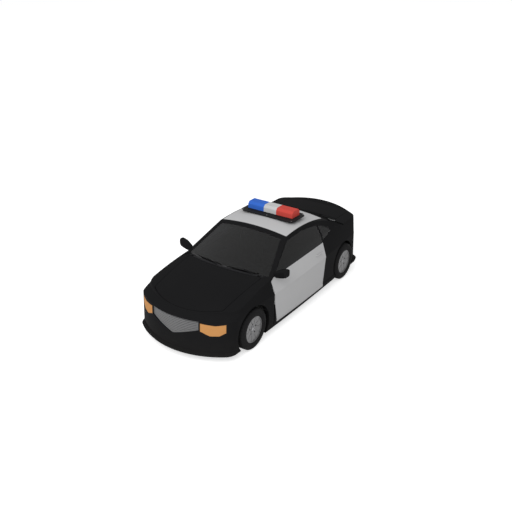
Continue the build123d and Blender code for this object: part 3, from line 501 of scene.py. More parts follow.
def add_sector(build, centre, side, radii, angles, depth, steps=10):
    """A piece of a flat ring round a wheel's line, between two radii, two angles and two depths."""
    corners = [(depth[0], radii[0]), (depth[1], radii[0]), (depth[1], radii[1]), (depth[0], radii[1])]
    rings = []
    for angle in evenly(*angles, steps):
        rings.append([build.verts.new(round_line(centre, side, x, radius, angle)) for x, radius in corners])
    join_rings(build, rings, capped=True)


def make_piece(name, build, finish, body, sharp=35):
    """Turns what was built into a piece with its finish that rides on a body."""
    bmesh.ops.recalc_face_normals(build, faces=build.faces)
    mesh = bpy.data.meshes.new(name)
    build.to_mesh(mesh)
    build.free()
    mesh.shade_smooth()
    mesh.set_sharp_from_angle(angle=math.radians(sharp))
    mesh.materials.append(FINISH[finish])
    piece = bpy.data.objects.new(name, mesh)
    bpy.context.scene.collection.objects.link(piece)
    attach(piece, body)
    return piece


WELD = 0.00005


def welded(node):
    """A node's faces in a new mesh, with the points of neighbouring faces joined."""
    build = bmesh.new()
    build.from_mesh(NODES[node].data)
    bmesh.ops.remove_doubles(build, verts=build.verts, dist=WELD)
    return build


def hit(node, start, direction):
    """Where a straight line meets a node's surface."""
    mesh = NODES[node].data
    faces = [face.vertices for face in mesh.polygons]
    tree = BVHTree.FromPolygons([vert.co for vert in mesh.vertices], faces)
    return tree.ray_cast(Vector(start), Vector(direction))[0]


# Wheels

WHEEL_X = 0.788
AXLE_Y = {"front": -1.33, "rear": 1.42}
TYRE_R = 0.322

# Tyre wall from bead to shoulder: distance outboard and radius
TYRE_WALL = [(0.1015, 0.2065), (0.1075, 0.2075), (0.1102, 0.2140), (0.1118, 0.2180), (0.1120, 0.2215),
             (0.1150, 0.2380), (0.1170, 0.2500), (0.1166, 0.2600), (0.1174, 0.2615), (0.1174, 0.2645),
             (0.1160, 0.2660), (0.1128, 0.2820), (0.1062, 0.2990), (0.0982, 0.3120)]
# Ribs of the tread from its outer edge inwards: a rib's two edges, and which of a pitch's two cross grooves
# cuts it
TREAD_RIBS = [(0.0905, 0.0625, 1), (0.0535, 0.0305, 0), (0.0215, -0.0215, None), (-0.0305, -0.0535, 0),
              (-0.0625, -0.0905, 1)]
TREAD_CROWN = 0.0035
TREAD_DEPTH = 0.0065
TREAD_WALL = 0.0012
TREAD_PITCHES = 36
TREAD_SHARP = 30
# Places along one pitch, the third and fourth low in the first cross groove, the last two in the second
TREAD_STEPS = [0.0, 0.36, 0.38, 0.47, 0.49, 0.86, 0.88, 0.98]
TREAD_CUTS = {0: (2, 3), 1: (6, 7)}


def tyre_section():
    """Points round the tyre's section: distance outboard, radius and the cross groove that lowers it."""
    def crown(x):
        return TYRE_R - TREAD_CROWN * (x / TREAD_RIBS[0][0]) ** 2

    section = [(x, radius, None) for x, radius in TYRE_WALL]
    for index, (outer, inner, cut) in enumerate(TREAD_RIBS):
        section += [(outer, crown(outer), cut), (inner, crown(inner), cut)]
        if index + 1 < len(TREAD_RIBS):
            beside = TREAD_RIBS[index + 1][0]
            section += [(inner - TREAD_WALL, crown(inner) - TREAD_DEPTH, None),
                        (beside + TREAD_WALL, crown(beside) - TREAD_DEPTH, None)]
    return section + [(-x, radius, None) for x, radius in reversed(TYRE_WALL)]


def treaded_tyre(end, side_name, side):
    """A road tyre with grooved tread in the form of its solid."""
    build = bmesh.new()
    section = tyre_section()
    centre = (side * WHEEL_X, AXLE_Y[end], TYRE_R)
    rings = []
    for pitch in range(TREAD_PITCHES):
        for step, part in enumerate(TREAD_STEPS):
            angle = math.tau * (pitch + part) / TREAD_PITCHES
            ring = []
            for x, radius, cut in section:
                depth = TREAD_DEPTH if cut is not None and step in TREAD_CUTS[cut] else 0
                ring.append(build.verts.new(round_line(centre, side, x, radius - depth, angle)))
            rings.append(ring)
    join_rings(build, rings, around=True)
    wheel = f"{end}_{side_name}"
    tyre = make_piece(f"treaded_tyre_{wheel}", build, "tyre", f"wheel_{wheel}", sharp=TREAD_SHARP)
    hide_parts(f"tyre_{wheel}")


HUB_FACE = 0.072
BOLTS = 5
BOLT_CIRCLE_R = 0.042
# A bolt's collar and its head: foot and top above the hub's face, radius and sides
BOLT_PARTS = [(-0.0005, 0.003, 0.013125, 20), (0.002, 0.012, 0.0105, 6)]
BOLT_CORE = 0.001
BOLT_EDGE = 0.0015
BOLT_TOP = 0.85
HUB_CAP = [(0.0715, 0.026), (0.0770, 0.0255), (0.0795, 0.022), (0.0810, 0.014), (0.0815, 0.004),
           (0.0715, 0.004)]
HUB_CAP_STEPS = 32
VALVE_PLACE_R = 0.172
VALVE_X = (0.070, 0.084, 0.096)
VALVE_LEAN = 0.1
VALVE_R = 0.0035


def wheel_fittings(end, side_name, side):
    """Hexagon bolts, a plain centre cap and a valve on the wheel's face."""
    wheel = f"{end}_{side_name}"
    centre = (side * WHEEL_X, AXLE_Y[end], TYRE_R)
    build = bmesh.new()
    for number in range(BOLTS):
        angle = math.tau * (number + 0.5) / BOLTS
        middle = round_line(centre, side, 0, BOLT_CIRCLE_R, angle)
        for low, high, radius, sides in BOLT_PARTS:
            foot = HUB_FACE + low
            top = HUB_FACE + high
            add_turned(build, [(foot, BOLT_CORE), (foot, radius), (top - BOLT_EDGE, radius),
                               (top, radius * BOLT_TOP), (top, BOLT_CORE)], middle, side, sides)
    add_turned(build, HUB_CAP, centre, side, HUB_CAP_STEPS)
    make_piece(f"wheel_bolts_{wheel}", build, "bolt_steel", f"wheel_{wheel}")
    build = bmesh.new()
    stem = [(centre[0] + side * x, centre[1], centre[2] - VALVE_PLACE_R - x * VALVE_LEAN) for x in VALVE_X]
    add_tube(build, stem, VALVE_R)
    make_piece(f"wheel_valve_{wheel}", build, "rubber", f"wheel_{wheel}")


DISC_SECTION = [(0.012, 0.0583), (0.012, 0.074), (-0.004, 0.080), (-0.004, 0.165), (-0.010, 0.165),
                (-0.010, 0.088), (-0.018, 0.088), (-0.018, 0.165), (-0.024, 0.165), (-0.024, 0.068),
                (-0.008, 0.066), (0.002, 0.0583)]
DISC_STEPS = 72
CALIPER_ANGLES = (math.radians(-28), math.radians(28))
# Parts of a caliper: two radii, then two distances outboard
CALIPER_PARTS = [((0.100, 0.182), (0.001, 0.018)), ((0.100, 0.182), (-0.046, -0.027)),
                 ((0.169, 0.183), (-0.044, 0.016)), ((0.030, 0.110), (-0.056, -0.034))]


def brake(end, side_name, side):
    """A vented brake disc on the wheel, and its caliper on what carries the wheel."""
    centre = (side * WHEEL_X, AXLE_Y[end], TYRE_R)
    build = bmesh.new()
    add_turned(build, DISC_SECTION, centre, side, DISC_STEPS)
    make_piece(f"brake_disc_{end}_{side_name}", build, "disc_iron", f"wheel_{end}_{side_name}")
    build = bmesh.new()
    for radii, depth in CALIPER_PARTS:
        add_sector(build, centre, side, radii, CALIPER_ANGLES, depth)
    carrier = f"knuckle_{side_name}" if end == "front" else "root"
    make_piece(f"brake_caliper_{end}_{side_name}", build, "cast_iron", carrier)


# Seals and glass

def borders(node, outward, least=0.35):
    """Closed lines of points round a node's faces that look outward."""
    build = welded(node)
    seen = {face for face in build.faces if face.normal.dot(outward) > least}
    edges = [edge for edge in build.edges if sum(face in seen for face in edge.link_faces) == 1]
    beside = {}
    for edge in edges:
        for vert in edge.verts:
            beside.setdefault(vert.index, []).append(edge.other_vert(vert).index)
    place = {vert.index: vert.co.copy() for vert in build.verts}
    build.free()
    lines = []
    left = dict.fromkeys(beside)
    while left:
        line = [next(iter(left))]
        del left[line[0]]
        while True:
            ahead = [index for index in beside[line[-1]] if index in left]
            if not ahead:
                break
            line.append(ahead[0])
            del left[ahead[0]]
        lines.append([place[index] for index in line])
    return [line for line in lines if len(line) > 3]


def spread(line, gap):
    """A closed line without the points that crowd closer than a gap."""
    kept = [line[0]]
    for point in line[1:]:
        if (point - kept[-1]).length > gap and (point - line[0]).length > gap * 0.5:
            kept.append(point)
    return kept


# Glass and lamps that get a rubber border: node, the way each face looks, the border's radius and its depth
EDGED = [("windscreen", [(0, -0.45, 0.9)], 0.0050, 0.0030),
         ("rear_window", [(0, 0.45, 0.9)], 0.0050, 0.0030),
         ("quarter_glass", [(0.9, 0, 0.4), (-0.9, 0, 0.4)], 0.0045, 0.0028),
         ("headlamps", [(0.5, -0.86, 0.1), (-0.5, -0.86, 0.1)], 0.0040, 0.0025),
         ("tail_lamps", [(0.3, 0.95, 0), (-0.3, 0.95, 0)], 0.0040, 0.0025)]
SEAL_SPACING = 0.006
SEAL_SHARP = 80


def edge_seals():
    """Rubber borders round the fixed glass and the lamps."""
    for node, ways, radius, sunk in EDGED:
        build = bmesh.new()
        for way in ways:
            way = Vector(way).normalized()
            for line in borders(node, way):
                sunken = [point - way * sunk for point in spread(line, SEAL_SPACING)]
                add_tube(build, sunken, radius, closed=True)
        make_piece(node + "_seal", build, "rubber", "root", sharp=SEAL_SHARP)


# Steepness that tells the belt line from the rest of a door's glass
BELT_RISE = 0.6
DOOR_SEAL_R = 0.0045
DOOR_SEAL_SUNK = 0.0025


def door_seals(side_name, side):
    """A belt strip at the foot of a door's glass, on the door, and a seal round the rest, on the body."""
    way = Vector((0.9 * side, 0, 0.4)).normalized()
    line = spread(borders(f"door_glass_{side_name}", way)[0], SEAL_SPACING)
    middle = sum(line, Vector()) / len(line)
    belt = []
    frame_line = []
    for index, point in enumerate(line):
        along = (line[(index + 1) % len(line)] - line[index - 1]).normalized()
        inward = middle - point
        inward = (inward - along * inward.dot(along)).normalized()
        (belt if inward.z > BELT_RISE else frame_line).append((index, point - way * DOOR_SEAL_SUNK))
    seals = (("belt_strip", belt, f"door_{side_name}"), ("glass_run", frame_line, "root"))
    for name, group, body in seals:
        runs = [[group[0]]]
        for before, here in zip(group, group[1:]):
            if here[0] - before[0] > 1:
                runs.append([])
            runs[-1].append(here)
        if len(runs) > 1 and runs[0][0][0] == 0 and runs[-1][-1][0] == len(line) - 1:
            runs[0] = runs.pop() + runs[0]
        build = bmesh.new()
        for run in runs:
            if len(run) > 1:
                add_tube(build, [point for index, point in run], DOOR_SEAL_R)
        make_piece(f"{name}_{side_name}", build, "rubber", body, sharp=SEAL_SHARP)


# The door opening's rear edge seen from the side (y, z)
DOOR_REAR_EDGE = [(0.650, 0.172), (0.738, 0.700), (0.757, 0.926)]
OPENING_SEAL_R = 0.008
SILL_SEAL_R = 0.006
SILL_SEAL_Y = (-0.78, 0.66)
SILL_SEAL_Z = 0.1705
SEAL_STEPS = 24
# A height on the floor pan's edge, and the inside and outside x that lines to the body start from
FLOOR_EDGE_Z = 0.19
INSIDE_X = 0.4
OUTSIDE_X = 1.2
OPENING_SEAL_BACK = 0.002
OPENING_SEAL_IN = 0.003
# The wall beside the seal is felt for a little behind and above it
WALL_BACK = 0.02
WALL_UP = 0.004


def opening_seals(side_name, side):
    """The weather strip behind the door's rear edge and the strip that closes the floor to the sill."""
    build = bmesh.new()
    strip = []
    for (y, z), (next_y, next_z) in zip(DOOR_REAR_EDGE, DOOR_REAR_EDGE[1:]):
        for step in range(SEAL_STEPS):
            part = step / SEAL_STEPS
            here_y = y + (next_y - y) * part + OPENING_SEAL_BACK
            here_z = z + (next_z - z) * part
            start = (side * INSIDE_X, here_y + WALL_BACK, here_z + WALL_UP)
            wall = hit(f"body_side_{side_name}", start, (side, 0, 0))
            strip.append((wall.x - side * OPENING_SEAL_IN, here_y, here_z))
    add_tube(build, strip, OPENING_SEAL_R)
    sill = []
    for y in evenly(*SILL_SEAL_Y, SEAL_STEPS):
        edge = hit("floor_pan", (side * OUTSIDE_X, y, FLOOR_EDGE_Z), (-side, 0, 0))
        sill.append((edge.x - side * SILL_SEAL_R, y, SILL_SEAL_Z))
    add_tube(build, sill, SILL_SEAL_R)
    make_piece(f"opening_seals_{side_name}", build, "rubber", "root", sharp=SEAL_SHARP)


# Outside fittings

def add_dome(build, centre, radius, height, normal=(0, 0, 1)):
    """A low dome, half sunk, such as a screw's or knob's head."""
    turn = Vector(normal).to_track_quat("Z", "Y").to_matrix().to_4x4()
    place = Matrix.Translation(centre) @ turn @ Matrix.Diagonal((radius, radius, height, 1))
    bmesh.ops.create_uvsphere(build, u_segments=20, v_segments=10, radius=1, matrix=place)


BAR_GASKET = [(0.440, 0.394), (0.440, 0.626), (-0.440, 0.626), (-0.440, 0.394)]
BAR_GASKET_Z = 1.372
BAR_GASKET_R = 0.0045


def light_bar_gasket():
    """A gasket round the lenses' foot."""
    build = bmesh.new()
    add_tube(build, [(x, y, BAR_GASKET_Z) for x, y in BAR_GASKET], BAR_GASKET_R, closed=True)
    make_piece("light_bar_gasket", build, "rubber", "root")


# Mirror housing from the door outwards: the section's middle (x, y, z), half its length and half its height
MIRROR_HOUSING = [(0.800, -0.664, 0.928, 0.034, 0.032), (0.845, -0.662, 0.942, 0.046, 0.055),
                  (0.900, -0.658, 0.960, 0.054, 0.068), (0.960, -0.654, 0.978, 0.056, 0.072),
                  (1.005, -0.651, 0.990, 0.055, 0.069), (1.030, -0.648, 0.997, 0.046, 0.056),
                  (1.041, -0.646, 1.000, 0.024, 0.029)]
MIRROR_SQUARENESS = 0.62
MIRROR_STEPS = 28
# The glass reaches over these shares of the housing's width and height, between two of its sections
MIRROR_GLASS = (0.80, 0.76)
MIRROR_GLASS_ENDS = (MIRROR_HOUSING[2], MIRROR_HOUSING[-2])
MIRROR_GLASS_SQUARENESS = 0.7
MIRROR_GLASS_Y = (-0.006, 0.004)
MIRROR_RIM = 0.0035
MIRROR_RIM_Y = 0.003


def mirror(side_name, side):
    """A rounded mirror housing on the door's corner, with silvered glass in a rubber border on its rear."""
    def across(angle, power):
        turn = math.cos(angle)
        return math.copysign(abs(turn) ** power, turn)

    def upward(angle, power):
        return across(angle - math.pi / 2, power)

    door = f"door_{side_name}"
    build = bmesh.new()
    rings = []
    for x, y, z, half_y, half_z in MIRROR_HOUSING:
        rings.append([build.verts.new((side * x, y + half_y * across(angle, MIRROR_SQUARENESS),
                                       z + half_z * upward(angle, MIRROR_SQUARENESS)))
                      for angle in turns(MIRROR_STEPS)])
    join_rings(build, rings, capped=True)
    housing = make_piece(f"mirror_housing_{side_name}", build, "black_paint", door)
    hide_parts(f"mirror_{side_name}")

    edge = []
    for angle in turns(MIRROR_STEPS):
        part = 0.5 + 0.5 * MIRROR_GLASS[0] * across(angle, MIRROR_GLASS_SQUARENESS)
        x, y, z, half_y, half_z = [first + (last - first) * part for first, last in zip(*MIRROR_GLASS_ENDS)]
        rise = half_z * MIRROR_GLASS[1] * upward(angle, MIRROR_GLASS_SQUARENESS)
        edge.append(Vector((side * x, y + half_y, z + rise)))
    build = bmesh.new()
    rings = [[build.verts.new(point + Vector((0, proud, 0))) for point in edge] for proud in MIRROR_GLASS_Y]
    join_rings(build, rings, capped=True)
    make_piece(f"mirror_glass_{side_name}", build, "mirror_silver", door)
    build = bmesh.new()
    add_tube(build, [point + Vector((0, MIRROR_RIM_Y, 0)) for point in edge], MIRROR_RIM, closed=True)
    make_piece(f"mirror_border_{side_name}", build, "rubber", door)


DOOR_HINGE = (0.9035, -0.820)
HINGE_COVER_Z = [(0.5928, 0.6152), (0.6628, 0.6852)]
HINGE_COVER_R = 0.0061
HINGE_COVER_SIDES = 24
HINGE_LEAF_HALF = 0.0036
HINGE_LEAF_Y = 0.016
HINGE_LEAF_EDGE = 0.0005


def hinge_covers(side_name, side):
    """Black sleeves over the door's own hinge knuckles and leaves."""
    x = side * DOOR_HINGE[0]
    y = DOOR_HINGE[1]
    build = bmesh.new()
    for low, high in HINGE_COVER_Z:
        add_tube(build, [(x, y, low), (x, y, high)], HINGE_COVER_R, HINGE_COVER_SIDES)
        add_block(build, (x - HINGE_LEAF_HALF, y, low), (x + HINGE_LEAF_HALF, y + HINGE_LEAF_Y, high),
                  HINGE_LEAF_EDGE, 1)
    make_piece(f"hinge_covers_{side_name}", build, "black_plastic", f"door_{side_name}")


HANDLE_Y = (0.455, 0.625)
HANDLE_Z = 0.805
HANDLE_LIFT = 0.017
HANDLE_SUNK = 0.004
# How soon the handle reaches its full lift, as a multiple of a sine along it
HANDLE_RISE = 3.2
HANDLE_STEPS = 14
HANDLE_R = 0.0085
HANDLE_SIDES = 12
LOCK_Y = 0.660
LOCK_R = 0.009
LOCK_HEIGHT = 0.003


def door_handle(side_name, side):
    """A pull handle that bows out of the door's skin, with a lock beside it."""
    door = f"door_{side_name}"

    def skin(y):
        return hit(door, (side * OUTSIDE_X, y, HANDLE_Z), (-side, 0, 0))

    points = []
    for step, y in enumerate(evenly(*HANDLE_Y, HANDLE_STEPS)):
        rise = min(1, HANDLE_RISE * math.sin(math.pi * step / HANDLE_STEPS))
        points.append(skin(y) + Vector((side * (HANDLE_LIFT * rise - HANDLE_SUNK), 0, 0)))
    build = bmesh.new()
    add_tube(build, points, HANDLE_R, HANDLE_SIDES)
    make_piece(f"door_handle_{side_name}", build, "white_paint", door)
    build = bmesh.new()
    add_dome(build, skin(LOCK_Y), LOCK_R, LOCK_HEIGHT, (side, 0, 0.2))
    make_piece(f"door_lock_{side_name}", build, "bolt_steel", door)


REFLECTOR_X = (0.50, 0.66)
REFLECTOR_Z = (0.352, 0.384)
REFLECTOR_STEPS = (10, 2)
REFLECTOR_PROUD = 0.004
REFLECTOR_SUNK = 0.002
# Lines to the car's rear start behind it, and lines to its top start above it
BEHIND_Y = 3
ABOVE_Z = 2


def rear_reflectors():
    """Two red reflectors that follow the rear bumper's face."""
    build = bmesh.new()
    for side in SIDES.values():
        rings = []
        for x in evenly(*REFLECTOR_X, REFLECTOR_STEPS[0]):
            column = [hit("rear_bumper", (side * x, BEHIND_Y, z), (0, -1, 0))
                      for z in evenly(*REFLECTOR_Z, REFLECTOR_STEPS[1])]
            outer = [point + Vector((0, REFLECTOR_PROUD, 0)) for point in column]
            inner = [point - Vector((0, REFLECTOR_SUNK, 0)) for point in reversed(column)]
            rings.append([build.verts.new(point) for point in outer + inner])
        join_rings(build, rings, capped=True)
    make_piece("rear_reflectors", build, "tail_lens", "root")


# The gap beside the bonnet seen from above: x and y at its rear and its front corner
BONNET_GAP_X = (0.693, 0.643)
BONNET_GAP_Y = (-0.880, -1.700)
BONNET_EDGE_IN = 0.02
BONNET_SEAL_DROP = 0.036
BONNET_SEAL_R = 0.0036


def bonnet_seals():
    """Rubber strips that close the gaps beside the bonnet."""
    build = bmesh.new()
    for side in SIDES.values():
        strip = []
        for x, y in zip(evenly(*BONNET_GAP_X, SEAL_STEPS), evenly(*BONNET_GAP_Y, SEAL_STEPS)):
            top = hit("bonnet", (side * (x - BONNET_EDGE_IN), y, ABOVE_Z), (0, 0, -1))
            strip.append((side * x, y, top.z - BONNET_SEAL_DROP))
        add_tube(build, strip, BONNET_SEAL_R)
    make_piece("bonnet_side_seals", build, "rubber", "root", sharp=SEAL_SHARP)


# Wipers: where the blade starts and ends across the screen, and where its arm leaves the cowl
WIPERS = {"left": (0.600, 0.060, 0.520), "right": (-0.030, -0.560, -0.110)}
SCREEN_FOOT_Y = -0.902
SCREEN_SWEEP = 0.134 / 0.76 ** 2
SCREEN_LEAN = (-0.45, 0.9)
WIPER_STEPS = 16
WIPER_UP = 0.030
WIPER_FOOT_UP = -0.012
# Blade and the spine on it: lift off the glass, radius and steps left off each end
WIPER_BARS = [(0.005, 0.0045, 0), (0.012, 0.0035, 3)]
WIPER_BAR_SIDES = 6
WIPER_ARM_LIFT = 0.017
WIPER_ARM_R = 0.0055
# Places along the arm and how far each is raised
WIPER_ARM = [(0, 0.004), (0.15, 0.012), (0.6, 0.010), (1, 0)]
WIPER_CAP = (0.014, 0.010)


def wiper(name, start, end, pivot):
    """A wiper parked along the foot of the windscreen: blade, arm and spindle cap."""
    def above(x, up):
        return (x, SCREEN_FOOT_Y + SCREEN_SWEEP * x * x + up, ABOVE_Z)

    def on_glass(x, lift):
        point = hit("windscreen", above(x, WIPER_UP), (0, 0, -1))
        return point + Vector((0, SCREEN_LEAN[0] * lift, SCREEN_LEAN[1] * lift))

    build = bmesh.new()
    spots = evenly(start, end, WIPER_STEPS)
    for lift, radius, short in WIPER_BARS:
        bar = [on_glass(x, lift) for x in spots[short:len(spots) - short]]
        add_tube(build, bar, radius, WIPER_BAR_SIDES)
    make_piece(f"wiper_blade_{name}", build, "rubber", "root")
    build = bmesh.new()
    foot = hit("cowl", above(pivot, WIPER_FOOT_UP), (0, 0, -1))
    middle = on_glass((start + end) / 2, WIPER_ARM_LIFT)
    arm = [foot.lerp(middle, part) + Vector((0, 0, rise)) for part, rise in WIPER_ARM]
    add_tube(build, arm, WIPER_ARM_R)
    add_dome(build, arm[0], *WIPER_CAP)
    make_piece(f"wiper_arm_{name}", build, "black_plastic", "root")


# Linings

LINING_FACING = 0.5


def lining(name, node, inward, low, high, thick, finish, body):
    """A lining of even thickness over a node's faces that look inward, between two corners."""
    build = welded(node)
    inward = Vector(inward)
    away = [face for face in build.faces if face.normal.dot(inward) < LINING_FACING]
    bmesh.ops.delete(build, geom=away, context="FACES")
    for axis in range(3):
        for limit, sign in ((low[axis], -1), (high[axis], 1)):
            spot = Vector()
            spot[axis] = limit
            look = Vector()
            look[axis] = sign
            bmesh.ops.bisect_plane(build, geom=build.verts[:] + build.edges[:] + build.faces[:],
                                   plane_co=spot, plane_no=look, clear_outer=True)
    raised = bmesh.ops.extrude_face_region(build, geom=build.faces[:], use_keep_orig=True)["geom"]
    for part in raised:
        if isinstance(part, bmesh.types.BMVert):
            part.co += inward * thick
    make_piece(name, build, finish, body)


# Linings of the panels: node, the way it looks, two corners, thickness and finish
LININGS = {
    "bonnet_pad": ("bonnet", (0, 0, -1), (-0.54, -1.74, 0.5), (0.54, -1.02, 1.0), 0.008, "felt"),
    "boot_lid_pad": ("boot_lid", (0, 0, -1), (-0.50, 1.65, 0.9), (0.50, 1.97, 1.1), 0.006, "felt"),
    "roof_lining": ("roof_panel", (0, 0, -1), (-0.60, -0.05, 1.0), (0.60, 1.06, 1.4), 0.006, "felt"),
}
DOOR_CARD_LOW = (-1, -0.47, 0.21)
DOOR_CARD_HIGH = (1, 0.69, 0.86)
DOOR_CARD_T = 0.010
CARD_START_X = 0.5
# Blocks on a door's card: where the card is felt for (y, z), reach into the cabin and into the card, y, z,
# rounding and its steps
ARMREST = ((0, 0.58), (0.062, 0.006), (-0.24, 0.34), (0.555, 0.605), 0.016, 3)
LATCH_LEVER = ((-0.30, 0.74), (0.012, 0.012), (-0.37, -0.27), (0.728, 0.752), 0.005, 2)
# The pull's points: distance off the card, y and z
PULL = [(0.004, -0.36, 0.62), (-0.042, -0.33, 0.635), (-0.046, -0.22, 0.655), (-0.042, -0.14, 0.67),
        (0.010, -0.11, 0.685)]
PULL_R = 0.011
PULL_SIDES = 10
SPEAKER = (-0.36, 0.33)
SPEAKER_RINGS = [0.018, 0.032, 0.046, 0.060, 0.074]
# Section of one ring: distance outboard, and radius more than the ring's own
SPEAKER_SECTION = [(0.003, -0.004), (-0.004, -0.004), (-0.006, 0), (-0.004, 0.004), (0.003, 0.004)]
SPEAKER_STEPS = 40


def door_trim(side_name, side):
    """The door's inner card with its armrest, pull, speaker and latch lever."""
    door = f"door_{side_name}"
    lining(f"door_card_{side_name}", door, (-side, 0, 0), DOOR_CARD_LOW, DOOR_CARD_HIGH, DOOR_CARD_T,
           "trim_plastic", door)

    def card(y, z):
        return hit(door, (side * CARD_START_X, y, z), (side, 0, 0)).x - side * DOOR_CARD_T

    def add_on_card(build, place, reach, along, up, bevel, steps):
        x = card(*place)
        add_block(build, (x - side * reach[0], along[0], up[0]), (x + side * reach[1], along[1], up[1]),
                  bevel, steps)

    build = bmesh.new()
    add_on_card(build, *ARMREST)
    add_tube(build, [(card(y, z) + side * x, y, z) for x, y, z in PULL], PULL_R, PULL_SIDES)
    make_piece(f"door_armrest_{side_name}", build, "trim_plastic", door)
    build = bmesh.new()
    centre = (card(*SPEAKER), *SPEAKER)
    for radius in SPEAKER_RINGS:
        section = [(x, radius + more) for x, more in SPEAKER_SECTION]
        add_turned(build, section, centre, side, SPEAKER_STEPS)
    make_piece(f"door_speaker_{side_name}", build, "black_plastic", door)
    build = bmesh.new()
    add_on_card(build, *LATCH_LEVER)
    make_piece(f"door_lever_{side_name}", build, "bolt_steel", door)


# Seats

SEAT_X = 0.370
# Pads seen from the side (y, z), a little inside their solids because they swell, and half their widths
SEAT_PADS = [([(-0.142, 0.276), (-0.158, 0.396), (-0.122, 0.424), (0.250, 0.398), (0.350, 0.412),
               (0.334, 0.276)], 0.228),
             ([(0.272, 0.406), (0.316, 0.360), (0.392, 0.380), (0.556, 0.898), (0.540, 0.920),
               (0.474, 0.928), (0.450, 0.912)], 0.218),
             ([(0.476, 0.985), (0.496, 1.104), (0.522, 1.118), (0.560, 1.104), (0.566, 1.078),
               (0.542, 0.980)], 0.124)]
SEAT_STITCHES = (-0.150, -0.050, 0.050, 0.150)
# Each seat's rails and headrest posts, from the seat's middle
RAIL_X = (-0.19, 0.19)
RAIL_HALF = 0.018
RAIL_Y = (-0.12, 0.32)
RAIL_Z = (0.215, 0.282)
RAIL_EDGE = 0.005
POST_X = (-0.055, 0.055)
POST_ENDS = [(0.500, 0.900), (0.524, 1.010)]
POST_R = 0.006
BENCH_PAD = [(0.862, 0.222), (0.842, 0.420), (1.236, 0.490), (1.372, 0.868), (1.462, 0.868), (1.462, 0.222)]
BENCH_X = 0.548
BENCH_STITCHES = (-0.42, -0.28, -0.14, 0.14, 0.28, 0.42)
PAD_ROUND = 0.028
PAD_ROUND_STEPS = 3
PAD_VOXEL = 0.014
PAD_SWELL = 0.012
PAD_PRESSURE = 4
PAD_FRAMES = 20
STITCH_DEPTH = 0.007
STITCH_WIDTH = 0.008


def settle(piece):
    """Applies a piece's modifiers to its mesh."""
    graph = bpy.context.evaluated_depsgraph_get()
    mesh = bpy.data.meshes.new_from_object(piece.evaluated_get(graph), depsgraph=graph)
    piece.modifiers.clear()
    piece.data = mesh


def swell(piece):
    """Blows a pad up under cloth tension, and keeps each point near where it began."""
    skin = piece.modifiers.new("skin", "REMESH")
    skin.mode = "VOXEL"
    skin.voxel_size = PAD_VOXEL
    settle(piece)
    began = [vert.co.copy() for vert in piece.data.vertices]
    cover = piece.modifiers.new("cover", "CLOTH")
    cover.settings.use_pressure = True
    cover.settings.uniform_pressure_force = PAD_PRESSURE
    cover.settings.effector_weights.gravity = 0
    for number in range(1, PAD_FRAMES + 1):
        bpy.context.scene.frame_set(number)
    settle(piece)
    bpy.context.scene.frame_set(1)
    for vert, start in zip(piece.data.vertices, began):
        move = vert.co - start
        if move.length > PAD_SWELL:
            vert.co = start + move.normalized() * PAD_SWELL
    soft = piece.modifiers.new("soft", "SUBSURF")
    soft.levels = 1
    settle(piece)


def stitch(piece, lines):
    """Draws in a pad along sewn lines that run from front to back."""
    mesh = piece.data
    for vert, normal in [(vert, vert.normal.copy()) for vert in mesh.vertices]:
        near = min(abs(vert.co.x - line) for line in lines)
        vert.co -= normal * STITCH_DEPTH * math.exp(-(near / STITCH_WIDTH) ** 2)
    mesh.shade_smooth()


def sewn_pads(name, node, forms, stitches):
    """Padded cloth in place of a node's solids; a form is an outline from the side and its two sides' x."""
    build = bmesh.new()
    for outline, low, high in forms:
        add_prism(build, outline, low, high, PAD_ROUND, PAD_ROUND_STEPS)
    pads = make_piece(name, build, "seat_fabric", "root")
    swell(pads)
    stitch(pads, stitches)
    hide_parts(node)


def seats():
    """Two front seats on steel rails with headrests on posts, and a bench with three sewn places."""
    middles = [side * SEAT_X for side in SIDES.values()]
    forms = [(outline, x - half, x + half) for x in middles for outline, half in SEAT_PADS]
    sewn_pads("front_seat_pads", "front_seats", forms, [x + line for x in middles for line in SEAT_STITCHES])
    build = bmesh.new()
    for middle in middles:
        for x in RAIL_X:
            add_block(build, (middle + x - RAIL_HALF, RAIL_Y[0], RAIL_Z[0]),
                      (middle + x + RAIL_HALF, RAIL_Y[1], RAIL_Z[1]), RAIL_EDGE, 2)
        for x in POST_X:
            add_tube(build, [(middle + x, y, z) for y, z in POST_ENDS], POST_R)
    make_piece("front_seat_rails", build, "bolt_steel", "root")
    sewn_pads("rear_bench_pad", "rear_bench", [(BENCH_PAD, -BENCH_X, BENCH_X)], BENCH_STITCHES)


# Cabin

# The dials' plane, with its own z axis towards the driver
DIAL_FRAME = Matrix(((1, 0, 0), (0, -0.216, 0.976), (0, 0.976, 0.216))).to_4x4()
CLUSTER = [(-0.556, 0.854), (-0.545, 0.854), (-0.5605, 0.927), (-0.571, 0.927)]
CLUSTER_X = (0.222, 0.518)
CLUSTER_EDGE = 0.002
# Each dial's x and radius
DIALS = [(0.295, 0.030), (0.370, 0.022), (0.445, 0.030)]
DIAL_YZ = (-0.5525, 0.8905)
DIAL_STEPS = 28
DIAL_RIM = 0.0022
DIAL_RIM_SIDES = 6
DIAL_RISE = 0.001
# Angles of the marks and of the resting needle
MARK_ANGLES = evenly(math.radians(-30), math.radians(210), 10)
NEEDLE_ANGLE = math.radians(210)
# Marks and needles: distance from the dial's middle in radii, half sizes and rounding
MARK_PLACE = 0.84
MARK_HALF = (0.003, 0.0006, 0.0006)
MARK_EDGE = 0.0002
NEEDLE_PLACE = 0.32
NEEDLE_RISE = 0.0022
NEEDLE_LENGTH = 0.42
NEEDLE_HALF = (0.0009, 0.0006)
NEEDLE_EDGE = 0.0003


